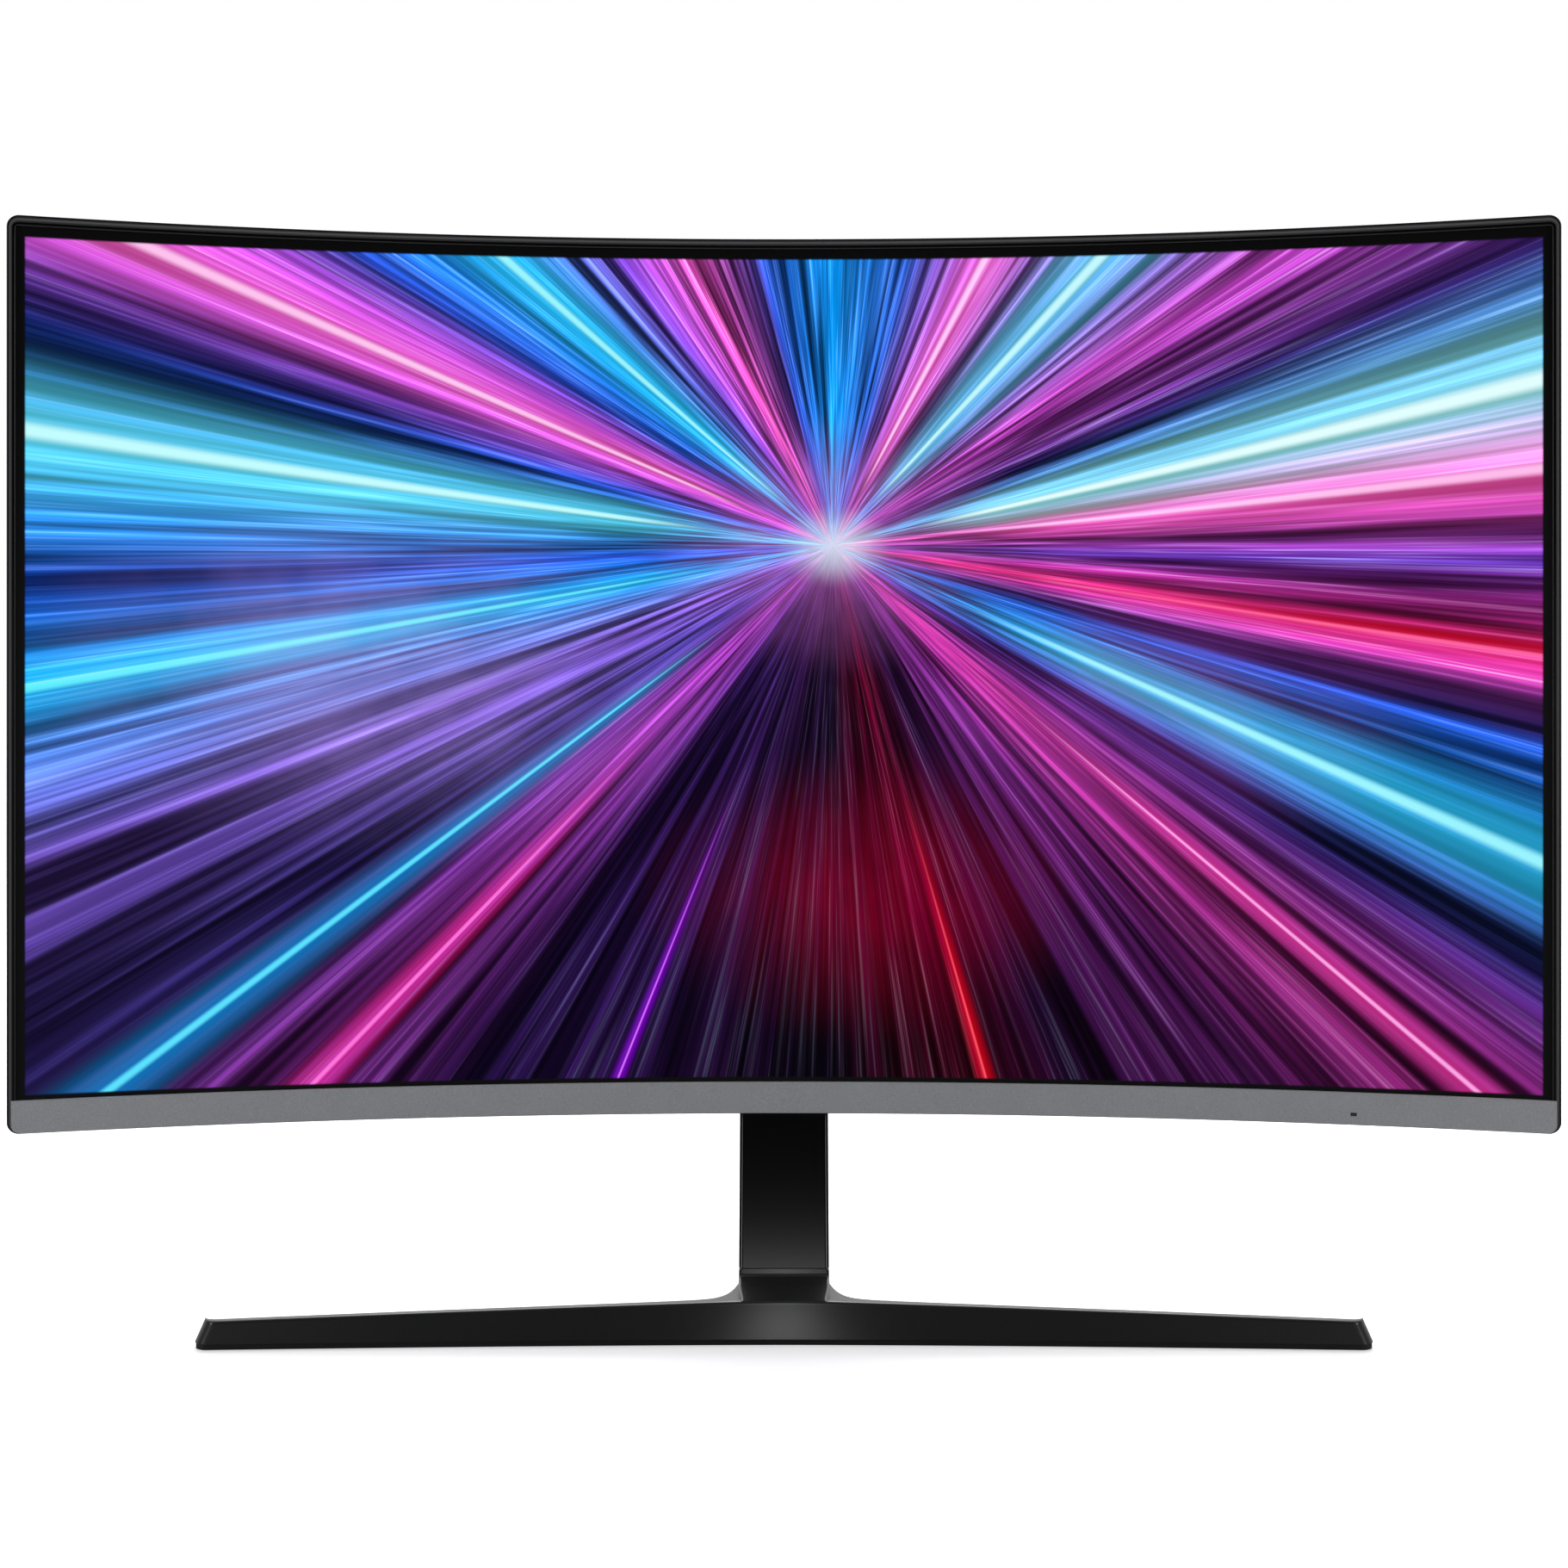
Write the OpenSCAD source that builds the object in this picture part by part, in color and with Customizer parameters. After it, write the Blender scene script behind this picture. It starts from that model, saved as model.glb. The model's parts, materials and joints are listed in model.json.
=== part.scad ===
// Curved desktop monitor on a tilt-only stand.
// Frame: origin on the desk, straight below the middle of the screen's front face.
// +X to the right seen from the front, +Y away from the viewer, +Z up. Millimetres.
// Depths called t are measured from the screen's front face, backwards along the screen's radius.

/* [Screen] */
// Radius of the screen's curve
screen_r = 1500; // [1300:50:2000]
// Active picture width, measured along the curve
active_w = 697.3; // [660:0.1:700]
// Active picture height
active_h = 392.25; // [380:0.05:394]
// Dark border beside the picture
border_side = 5.3; // [4:0.1:7]
// Dark border above the picture
border_top = 4.8; // [4:0.1:7]
// Dark border below the picture
border_bottom = 2.2; // [1.5:0.1:4]

/* [Front frame] */
// Glossy rim at the left and right
rim_side = 3.9; // [3.5:0.1:5]
// Glossy rim along the top
rim_top = 5.0; // [4.5:0.1:6]
// Height of the grey chin under the screen
chin_h = 15.3; // [14:0.1:20]
// Height of the chin's lower edge over the desk
head_z = 102; // [95:1:120]
// Corner radius of the frame, seen from the front
corner_r = 5.5; // [4:0.5:8]

/* [Rear cover] */
// Depth of the slim part of the head
slim_t = 20; // [18:0.5:22]
// Depth of the electronics bulge
bulge_t = 42; // [41.5:0.5:42.5]
// Wall thickness of the moulded covers
wall = 2.2; // [1.8:0.1:2.6]

/* [Stand] */
// Width of the neck
neck_w = 44; // [42:0.5:46]
// Thickness of the neck
neck_t = 14; // [14:0.5:15]
// Backward lean of the neck from vertical
neck_lean = 13.5; // [13:0.25:14]
// Half the length of the foot, at the desk
foot_half = 273.5; // [240:0.5:290]
// Height of the foot's front edge in the middle
foot_h = 19.3; // [18.5:0.1:20]
// Height lost by the foot's edge for each millimetre outwards
foot_fall = 0.0285; // [0.02:0.0005:0.032]
// Width of the tongue that runs back under the neck
tongue_w = 40; // [38:1:42]
// Where the tongue ends behind the screen's front
tongue_y = 150; // [130:1:170]

/* [Tilt hinge] */
// Height of the tilt axis over the desk
pivot_z = 215; // [213:0.5:217]
// Depth of the tilt axis behind the screen's front
pivot_y = 63.5; // [63:0.5:64]
// Radius of the hinge pin
pin_r = 4; // [3.8:0.1:4.2]

/* [Wall mount] */
// Distance between the threaded mounting holes
vesa = 75; // [75:25:75]
// Height of the pattern's centre over the desk
vesa_z = 316; // [312:1:320]

/* [Hidden] */
$fn = 48;
arc_fn = 360;         // steps in a full turn about the screen's axis of curvature
deg_per_mm = 180 / PI / screen_r;
half_arc = active_w / 2 + border_side + rim_side;
chord_half = screen_r * sin(half_arc * deg_per_mm);
chin_top = head_z + chin_h;
active_z = chin_top + border_bottom;
head_top = active_z + active_h + border_top + rim_top;
gap = 0.1;            // air between moulded pieces
fit = 0.03;           // radial air round screws and pins
past = 1;             // how far a cutter runs past what it cuts

// depths behind the front face
bezel_front_t = -1.2;
bezel_back_t = 9;
cell_t = 1.8;         // back of the glass
films_t = 2;
guide_t = [3.5, 6.5]; // front and back of the light guide
frame_t = [1.9, 7];   // front and back of the plastic mid frame
chassis_t = 7.9;      // back of the steel chassis
driver_t = [8.2, 9.2];
cover_t = 9.05;       // where the rear cover meets the front bezel

// backlight
frame_side = 2.1;     // mid frame and chassis, inset from the head's outline
frame_low = head_z + 4.2;
frame_r = 3.4;
sheet_side = 7.6;     // optical sheets, inset from the head's outline
sheet_low = head_z + 14;
strip_z = head_z + 10.2;
strip_h = 1.2;
led_count = 48;
tape_pitch = 2.8;     // degrees between the driver tapes
tape_count = 7;

// boards and brackets
tray_y = [9.2, 10.2]; // front and back of the tray under the boards
tray_x = 200;
tray_z = [176, 372];
board_y = 12;
board_t = 1.6;
parts_y = board_y + board_t + 0.05;
board_screw_r = 1.25;
bracket_screw_r = 1.5;
bracket_y = 10.25;    // front of the brackets' feet
bracket_foot = 2.15;  // thickness of the brackets' feet
vesa_fix = [62, 40];  // half spacing of the screws that hold each bracket: across and up
stand_fix = [53.5, 15];
hinge_fix = [36, 26]; // half spacing of the hinge plate's screws
port_z = 204;
bay = [60, 180, 185, 225]; // connector bay: left, right, bottom, top
bay_floor = 28;
hdmi_x = 80;
vga_x = 115;
audio_x = 146;
dc_x = 166;
board_screw_places = [
  [78, 182], [190, 182], [78, 292], [190, 292],
  [-78, 206], [-190, 206], [-78, 292], [-190, 292]
];
// along the curve, and over the head's lower edge
cover_screw_places = [[-300, 30], [300, 44], [-300, 390], [300, 390], [-100, 395], [100, 395]];
cover_screw_r = 1.5;
cover_seat_t = 14;    // where the cover screws' heads sit

// controls
control_deg = 10.2;   // place of the status light and the jog stick along the curve
control_z = head_z + 20;
led_z = head_z + 5.2;
jog_pivot_t = 13.4;
jog_pin_r = 0.5;
ribbon = 0.6;         // thickness of the key cable
ribbon_deg = 7.72;
ribbon_t = 9.3;

// hinge and neck
knuckle_r = 9;
plate_front = bulge_t + 0.1;
ear_x = 19.5;
neck_base = [0, 14, 23]; // front foot of the visible neck
neck_len = 184;
neck_screw_heights = [30, 90, 150];
covers_z = 22.9;      // where the neck's covers end over the foot
cover_wall = 2;       // walls of the neck's covers
frame_core = [15, 3, 11]; // neck frame: half width, front and back

// foot
plate_z = 3;          // underside of the foot's shell
skirt_z = 0.3;        // underside of the foot's bottom plate
pad_h = 1;            // thickness of the rubber pads
lip = 1.4;            // how far the bottom plate stays inside the shell
end_r = 7;            // rounding of the foot's ends in plan
tongue_r = 12;        // rounding of the tongue's end in plan
screw_y = 18;         // axis of the thumb screw in the foot
recess_r = 14;        // recess round the thumb screw
ring_z = 2.8;         // axis of the thumb screw's folding ring
ring_pin_r = 0.7;
foot_screw_r = 1.5;
foot_screw_places = [[-235, -22], [-120, -15], [120, -15], [235, -22], [0, 60], [0, 120]];

// ---------- helpers ----------

// Puts children on the screen's curve: local +Y points back along the radius, local X along the curve.
module on_arc(deg, t, z) {
  translate([0, -screen_r, 0]) rotate([0, 0, -deg]) translate([0, screen_r + t, z]) children();
}

// Turns a (depth, height) outline about the screen's axis of curvature.
module sweep(half_deg) {
  translate([0, -screen_r, 0]) rotate([0, 0, 90 - half_deg])
    rotate_extrude(angle = 2 * half_deg, $fn = arc_fn) translate([screen_r, 0]) children();
}

// A curved sheet between two depths and two heights.
module arc_slab(t0, t1, z0, z1, half = half_arc) {
  sweep(half * deg_per_mm) translate([t0, z0]) square([t1 - t0, z1 - z0]);
}

// A rounded rectangle made of true arcs.
module rounded(w, h, r) {
  translate([-w / 2, r]) square([w, h - 2 * r]);
  translate([-w / 2 + r, 0]) square([w - 2 * r, h]);
  for (x = [-1, 1], z = [r, h - r]) translate([x * (w / 2 - r), z]) circle(r);
}

// The head's outline seen from the front, as a prism along Y.
module outline(side, z0, z1, r) {
  translate([0, 120, 0]) rotate([90, 0, 0]) linear_extrude(260)
    translate([0, z0]) rounded(2 * (chord_half - side), z1 - z0, r);
}

// A curved sheet trimmed to a rounded outline.
module sheet(t0, t1, side, z0, z1, r) {
  intersection() {
    arc_slab(t0, t1, z0 - past, z1 + past, half_arc + 4);
    outline(side, z0, z1, r);
  }
}

// A box between two corners.
module box(a, b) {
  translate(a) cube(b - a);
}

// A rod along +Y.
module rod_y(r, length) {
  rotate([-90, 0, 0]) cylinder(r = r, h = length);
}

// A rod along X, centred.
module rod_x(r, length) {
  rotate([0, 90, 0]) cylinder(r = r, h = length, center = true);
}

// Children at four corners, at half spacings x across and z up.
module at_corners(half) {
  for (x = [-1, 1], z = [-1, 1]) translate([x * half[0], 0, z * half[1]]) children();
}

// A pan-head screw along Y: the head's seat is at y = 0 and the shank runs to -length.
module screw_y_axis(head_r, head_h, r, length) {
  rod_y(head_r, head_h);
  translate([0, -length, 0]) rod_y(r, length + 0.1);
}

// ---------- front of the head ----------

module chin_body(grow) {
  low = head_z + 0.25 - grow;
  sheet(-1.6 - grow, -0.1 + grow, 1.9 - grow, low, chin_top + grow, 4.2);
  sheet(-0.2, 6 + grow, 4.4 - grow, low, head_z + 2.3 + grow, 0.9);
}

module led_pocket(grow, t0, t1) {
  on_arc(control_deg, 0, led_z) box([-1.4 - grow, t0, -0.8 - grow], [1.4 + grow, t1, 0.8 + grow]);
}

module front_bezel() {
  rim_wall = 1.8;
  color([0.02, 0.02, 0.02])
  difference() {
    sheet(bezel_front_t, bezel_back_t, 0, head_z, head_top, corner_r);
    sheet(-0.1, bezel_back_t + past, rim_wall,
          head_z + rim_wall, head_top - rim_wall, corner_r - rim_wall);
    // the window over the screen runs down to the chin
    sheet(-3, 1, rim_side, head_z + 4, head_top - rim_top, 1.6);
    sheet(-3, 6 + gap, 4.3, head_z - 8, head_z + 6, 0.5);
    chin_body(gap);
  }
}

module chin_trim() {
  color([0.47, 0.48, 0.5])
  difference() {
    chin_body(0);
    led_pocket(0.05, -3, 1);
  }
}

module power_led_lens() {
  color([0.05, 0.07, 0.1]) led_pocket(0, -1.7, -0.12);
}

module lcd_cell() {
  color([0.01, 0.01, 0.015]) sheet(0, cell_t, 2.3, head_z + 8, head_top - 3, 1.2);
}

// ---------- backlight ----------

module mid_frame() {
  opening = 7.2;
  color([0.1, 0.1, 0.1])
  difference() {
    sheet(frame_t[0], frame_t[1], frame_side, frame_low, head_top - frame_side, frame_r);
    sheet(frame_t[0] - past, frame_t[1] + past, opening, head_z + 9.8, head_top - opening, 1);
  }
}

module optical_films() {
  film = 0.3;
  pitch = 0.5;
  color([0.95, 0.95, 0.95, 0.6])
  for (t = [films_t, films_t + pitch, films_t + 2 * pitch])
    sheet(t, t + film, sheet_side, sheet_low, head_top - sheet_side, 0.6);
}

module light_guide() {
  color([0.85, 0.95, 0.95, 0.6])
  sheet(guide_t[0], guide_t[1], sheet_side, sheet_low, head_top - sheet_side, 0.6);
}

module reflector_sheet() {
  color("white") sheet(6.6, 6.9, sheet_side, strip_z, head_top - sheet_side, 0.6);
}

module led_strip() {
  color([0.9, 0.9, 0.88]) arc_slab(3.4, 6.5, strip_z, strip_z + strip_h, half_arc - 9);
}

module led_packages() {
  span_deg = 2 * (half_arc - 14) * deg_per_mm;
  color([1, 0.9, 0.5])
  for (i = [0:led_count - 1])
    on_arc((i / (led_count - 1) - 0.5) * span_deg, 5, strip_z + strip_h)
      translate([-3.5, -0.7, 0.02]) cube([7, 1.4, 2.2]);
}

// Places of the driver tapes along the head's lower edge.
module at_tapes() {
  reach = (tape_count - 1) / 2;
  for (i = [-reach:reach]) on_arc(i * tape_pitch, 0, head_z) children();
}

module back_chassis() {
  color([0.7, 0.71, 0.72])
  difference() {
    sheet(7.1, chassis_t, frame_side, frame_low, head_top - frame_side, frame_r);
    // slots where the driver tapes pass
    at_tapes() box([-14.5, 6, 0.2], [14.5, 9, 7.2]);
    at_cover_screws(6) rod_y(cover_screw_r + fit, 3);
  }
}

module panel_driver_board() {
  color([0.1, 0.3, 0.15]) arc_slab(driver_t[0], driver_t[1], head_z + 8, head_z + 26, 238);
}

// Each tape leaves the foot of the glass, passes through its chassis slot and lands on the driver board.
module driver_flex_tapes() {
  color([0.55, 0.35, 0.1])
  at_tapes()
    difference() {
      box([-13, 0.2, 3.2], [13, 9.6, 12]);
      box([-14, 0.4, 3.4], [14, 9.4, 9]);
      box([-14, -1, 7.9], [14, 9.25, 13]);
    }
}

// ---------- rear of the head ----------

// Slim part of the rear cover, inset by o all round.
module slim_body(o) {
  edge_t = 13;       // depth of the cover at the head's edges
  edge_in = 0.4;     // how far the cover stays inside the head's outline
  front_t = o > 0 ? cover_t - past : cover_t;
  low = head_z + 0.6 + o;
  high = head_top - 0.6 - o;
  side_y = sqrt(pow(screen_r + edge_t - o, 2) - pow(chord_half, 2)) - screen_r;
  inner_x = 300;     // where the sides begin to slope
  inner_y = sqrt(pow(screen_r + slim_t - o, 2) - pow(inner_x, 2)) - screen_r + 0.5;
  wide = 360;
  intersection() {
    sweep(15)
      polygon([
        [front_t, low], [edge_t - o, low], [slim_t - o, low + 14.4],
        [slim_t - o, head_top - 60], [edge_t - o, high], [front_t, high]
      ]);
    outline(edge_in + o, head_z + 0.5 + o, head_top - 0.5 - o, corner_r - o);
    linear_extrude(600)
      polygon([
        [-wide, -120], [wide, -120], [wide, side_y], [chord_half - edge_in, side_y], [inner_x, inner_y],
        [inner_x, 60], [-inner_x, 60], [-inner_x, inner_y],
        [-chord_half + edge_in, side_y], [-wide, side_y]
      ]);
  }
}

// Electronics bulge, inset by o all round.
module bulge_body(o) {
  low = head_z + 40;
  high = head_z + 340;
  root_t = 14;       // where the bulge starts, inside the slim part
  root_x = 262;
  crown_x = 205;
  slope = o * 0.6;   // inset measured along the slanted walls
  intersection() {
    sweep(12)
      polygon([
        [root_t, low - 6 + o], [slim_t - o, low + o], [bulge_t - o, low + 34 + slope],
        [bulge_t - o, high - 50 - slope], [slim_t - o, high - o], [root_t, high + 6 - o]
      ]);
    linear_extrude(600)
      polygon([
        [-root_x + o, -20], [root_x - o, -20],
        [crown_x - slope, bulge_t + 2], [-crown_x + slope, bulge_t + 2]
      ]);
  }
}

module cover_solid(o) {
  slim_body(o);
  bulge_body(o);
}

// Two rows of vents over the bulge and one under it.
module vent_slots() {
  pitch = 9;
  half = 2;
  for (row = [0:1], i = [-16:16])
    if (abs(i) > 0)
      translate([i * pitch, 0, head_z + 304 + row * 15]) box([-half, 12, -5], [half, 60, 5]);
  for (i = [-14:14])
    if (abs(i) > 4)
      translate([i * pitch, 0, head_z + 52]) box([-half, 12, -4], [half, 60, 4]);
}

module at_cover_screws(t) {
  for (p = cover_screw_places) on_arc(p[0] * deg_per_mm, t, head_z + p[1]) children();
}

module rear_cover() {
  color([0.13, 0.14, 0.16])
  difference() {
    union() {
      difference() {
        cover_solid(0);
        cover_solid(wall);
      }
      // walls of the connector bay
      intersection() {
        cover_solid(0.01);
        box([bay[0] - 2, bay_floor - 2, bay[2] - 2], [bay[1] + 2, 60, bay[3] + 2]);
      }
      // screw posts
      intersection() {
        at_cover_screws(9.5) rod_y(4.2, 20);
        cover_solid(0.5);
      }
    }
    box([bay[0], bay_floor, bay[2]], [bay[1], 60, bay[3]]);
    port_cutouts();
    vent_slots();
    at_cover_screws(8) rod_y(cover_screw_r + 0.13, 30);
    at_cover_screws(cover_seat_t) rod_y(3.2, 30);
    // holes over the threaded bosses
    translate([0, 30, vesa_z]) at_corners([vesa / 2, vesa / 2]) rod_y(6.6, 20);
    // holes for the hinge plate's screws
    translate([0, 30, pivot_z]) at_corners(hinge_fix) rod_y(2.3, 20);
    // hole for the jog stick
    at_jog() translate([0, 12, 0]) rod_y(7.6, 20);
    // slot for a security lock
    box([-202, 20, head_z + 90], [-199, 60, head_z + 97]);
  }
}

module rear_cover_screws() {
  color([0.1, 0.1, 0.1])
  at_cover_screws(cover_seat_t) screw_y_axis(2.9, 1.8, cover_screw_r, 6.8);
}

// A bracket's feet: flanges beside it that are screwed to the tray.
module bracket_feet(inner, outer, half_h) {
  for (x = [[-outer, -inner], [inner, outer]])
    box([x[0], bracket_y, -half_h], [x[1], bracket_y + bracket_foot, half_h]);
}

module vesa_bracket() {
  thread_r = 2;
  half = [56, 52];
  face_y = 36;
  sheet_metal = 2;
  color([0.75, 0.76, 0.77])
  translate([0, 0, vesa_z])
  difference() {
    union() {
      box([-half[0], face_y - sheet_metal, -half[1]], [half[0], face_y, half[1]]);
      for (x = [-half[0], half[0] - sheet_metal])
        box([x, bracket_y, -half[1]], [x + sheet_metal, face_y, half[1]]);
      translate([0, 24, 0]) at_corners([vesa / 2, vesa / 2]) rod_y(6, bulge_t - 24.2);
      bracket_feet(half[0] - sheet_metal, 68, half[1]);
    }
    translate([0, 20, 0]) at_corners([vesa / 2, vesa / 2]) rod_y(thread_r, 40);
    at_corners(vesa_fix) rod_y(bracket_screw_r + fit, 40);
  }
}

module stand_bracket() {
  half = [50, 36];
  face_y = 38.6;
  sheet_metal = 3;
  color([0.7, 0.71, 0.72])
  translate([0, 0, pivot_z])
  difference() {
    union() {
      box([-half[0], face_y - sheet_metal, -half[1]], [half[0], face_y, half[1]]);
      for (x = [-half[0], half[0] - sheet_metal])
        box([x, bracket_y, -half[1]], [x + sheet_metal, face_y, half[1]]);
      bracket_feet(half[0] - sheet_metal, 57, 24);
    }
    translate([0, 30, 0]) at_corners(hinge_fix) rod_y(2, 20);
    at_corners(stand_fix) rod_y(bracket_screw_r + fit, 40);
  }
}

module bracket_screws() {
  seat_y = bracket_y + bracket_foot + 0.05;
  color([0.6, 0.6, 0.62]) {
    translate([0, seat_y, vesa_z]) at_corners(vesa_fix) screw_y_axis(2.8, 1.8, bracket_screw_r, 3.9);
    translate([0, seat_y, pivot_z]) at_corners(stand_fix) screw_y_axis(2.8, 1.8, bracket_screw_r, 3.9);
  }
}

// ---------- electronics ----------

module board_tray() {
  leg = 2;
  color([0.72, 0.73, 0.74])
  difference() {
    union() {
      box([-tray_x, tray_y[0], tray_z[0]], [tray_x, tray_y[1], tray_z[1]]);
      // legs down to the curved chassis
      for (x = [-tray_x, tray_x - leg]) box([x, -5, tray_z[0]], [x + leg, tray_y[0] + 0.1, tray_z[1]]);
      at_board_screws() translate([0, tray_y[1] - 0.1, 0]) rod_y(2.6, 1.8);
    }
    at_board_screws() translate([0, 8, 0]) rod_y(board_screw_r + fit, 10);
    // slot for the panel cable
    box([78, 8, 301], [114, 11, 307]);
    translate([0, 0, vesa_z]) at_corners(vesa_fix) rod_y(bracket_screw_r + fit, 40);
    translate([0, 0, pivot_z]) at_corners(stand_fix) rod_y(bracket_screw_r + fit, 40);
  }
}

module at_board_screws() {
  for (p = board_screw_places) translate([p[0], 0, p[1]]) children();
}

module main_board() {
  color([0.05, 0.25, 0.12])
  difference() {
    box([72, board_y, 178], [196, board_y + board_t, 298]);
    at_board_screws() rod_y(board_screw_r + fit, 30);
  }
}

module scaler_heatsink() {
  base_y = board_y + 3.4;
  fin = 1.6;
  pitch = 4.7;
  color([0.6, 0.61, 0.62]) {
    box([100, base_y, 238], [130, base_y + 2, 268]);
    for (i = [0:6])
      translate([i * pitch, 0, 0]) box([100, base_y + 1.9, 238], [100 + fin, base_y + 10.6, 268]);
  }
}

module main_board_parts() {
  color([0.08, 0.08, 0.09]) {
    box([101, parts_y, 239], [129, parts_y + 1.7, 267]);             // picture processor
    box([140, parts_y, 244], [152, parts_y + 1.2, 256]);             // memory
    box([76, parts_y, 276], [116, parts_y + 5, 284]);                // panel cable socket
    box([140, parts_y, 278], [156, parts_y + 5, 285]);               // power harness socket
    box([172, parts_y, 234], [182, parts_y + 4, 246]);               // key cable socket
    for (i = [0:2]) translate([164, parts_y, 262 + i * 12]) rod_y(4, 9);
  }
}

module port_cutouts() {
  translate([0, 20, port_z]) {
    translate([hdmi_x, 0, 0]) box([-7.8, 0, -4], [7.8, 20, 4]);
    translate([vga_x, 0, 0]) box([-16.6, 0, -6.6], [16.6, 20, 6.6]);
    translate([audio_x, 0, 0]) rod_y(3.3, 20);
    translate([dc_x, 0, 0]) rod_y(5.2, 20);
  }
}

module hdmi_port() {
  color([0.8, 0.8, 0.8])
  translate([hdmi_x, parts_y, port_z])
  difference() {
    box([-7.5, 0, -3.2], [7.5, 14.5, 3.2]);
    box([-6.9, 4, -2.3], [6.9, 20, 2.3]);
  }
}

module vga_port() {
  color([0.1, 0.2, 0.6])
  translate([vga_x, parts_y, port_z])
  difference() {
    union() {
      box([-15.5, 0, -6.2], [15.5, 12.2, 6.2]);
      box([-8.2, 12, -4.4], [8.2, 17.6, 4.4]);
    }
    for (row = [-1:1], i = [-2:2])
      translate([i * 2.4 + row * 0.6, 8, row * 2.2]) rod_y(0.6, 20);
    for (x = [-1, 1]) translate([x * 12.2, 6, 0]) rod_y(1.4, 20);
  }
}

module audio_jack() {
  color([0.06, 0.06, 0.06])
  translate([audio_x, parts_y, port_z])
  difference() {
    union() {
      box([-4, 0, -4], [4, 12.2, 4]);
      translate([0, 12, 0]) rod_y(3, 3.4);
    }
    translate([0, 2, 0]) rod_y(1.8, 20);
  }
}

module dc_jack() {
  color([0.08, 0.08, 0.08])
  translate([dc_x, parts_y, port_z]) {
    difference() {
      union() {
        box([-6, 0, -6], [6, 12.2, 6]);
        translate([0, 12, 0]) rod_y(4.9, 3.2);
      }
      translate([0, 3, 0]) rod_y(3.3, 20);
    }
    translate([0, 2.9, 0]) rod_y(1.0, 10.5);
  }
}

module power_board() {
  color([0.3, 0.25, 0.08])
  difference() {
    box([-196, board_y, 200], [-72, board_y + board_t, 298]);
    at_board_screws() rod_y(board_screw_r + fit, 30);
  }
}

module power_board_parts() {
  color([0.12, 0.12, 0.14]) {
    for (i = [0:3]) translate([-178 + i * 17, parts_y, 276]) rod_y(6, 14);
    for (i = [0:1]) box([-180 + i * 30, parts_y, 218], [-160 + i * 30, parts_y + 11, 238]);
    box([-110, parts_y, 214], [-84, parts_y + 7, 220]);
    for (i = [0:2]) box([-112 + i * 12, parts_y, 246], [-104 + i * 12, parts_y + 2.4, 256]);
  }
}

module board_screws() {
  color([0.6, 0.6, 0.62])
  at_board_screws() translate([0, parts_y, 0]) screw_y_axis(2.4, 1.6, board_screw_r, 3.6);
}

// Flat cable from the main board down to the panel driver board.
module panel_cable() {
  x = [80, 112];
  z = [270, 304];
  back = board_y + 7;
  foil = 0.3;
  color([0.9, 0.9, 0.92]) {
    box([x[0], back - foil, z[0]], [x[1], back, z[1]]);
    box([x[0], 7.4, z[1] - foil], [x[1], back, z[1]]);
  }
}

// Ribbon from the main board, down the chassis and along it to the jog board.
module key_cable() {
  half_w = 2;
  z = [236, 244];
  drop_x = 204;
  end_deg = control_deg - 0.45;
  color([0.85, 0.85, 0.8]) {
    translate([0, -screen_r, 0]) rotate([0, 0, 90 - end_deg])
      rotate_extrude(angle = end_deg - ribbon_deg, $fn = arc_fn)
        translate([screen_r + ribbon_t, control_z - half_w]) square([ribbon, 2 * half_w]);
    on_arc(ribbon_deg, ribbon_t, 0) box([-half_w, 0, control_z - half_w], [half_w, ribbon, z[1]]);
    box([182.1, board_y + 3, z[0]], [drop_x, board_y + 3 + ribbon, z[1]]);
    box([drop_x - ribbon, -5, z[0]], [drop_x, board_y + 3 + ribbon, z[1]]);
  }
}

// ---------- jog control ----------

module at_jog() {
  on_arc(control_deg, 0, control_z) children();
}

module jog_board() {
  color([0.05, 0.25, 0.12]) at_jog() box([-14, 8.1, -9], [14, 9.1, 12]);
}

module jog_switch_housing() {
  color([0.15, 0.15, 0.16])
  at_jog()
  difference() {
    box([-6, 9.15, -6], [6, 15, 6]);
    translate([0, 10.2, 0]) rod_y(4.6, 10);
    translate([0, jog_pivot_t, 0]) rod_x(jog_pin_r + 0.05, 11);
  }
}

module jog_gimbal() {
  color([0.7, 0.7, 0.7])
  at_jog()
  translate([0, jog_pivot_t, 0]) {
    difference() {
      union() {
        translate([0, -0.8, 0]) rod_y(3.9, 1.6);
        rod_x(jog_pin_r, 10.4);
      }
      translate([0, -2, 0]) rod_y(2.5, 4);
      cylinder(r = jog_pin_r + 0.05, h = 9, center = true);
    }
  }
}

module jog_stem() {
  color([0.5, 0.5, 0.5])
  at_jog()
  translate([0, jog_pivot_t, 0]) {
    translate([0, -1.2, 0]) rod_y(1, 7.4);
    cylinder(r = jog_pin_r, h = 7, center = true);
  }
}

module jog_cap() {
  color([0.08, 0.08, 0.09])
  at_jog()
  difference() {
    union() {
      translate([0, 17.4, 0]) rod_y(2.2, 2);
      translate([0, 19.2, 0]) rod_y(6, 3);
      translate([0, 22, 0]) rod_y(4.4, 1.4);
    }
    translate([0, 17, 0]) rod_y(1.05, 3.8);
    translate([0, 22.9, 0]) rod_y(2.6, 2);
  }
}

// ---------- tilt hinge ----------

module at_pivot() {
  translate([0, pivot_y, pivot_z]) children();
}

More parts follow.
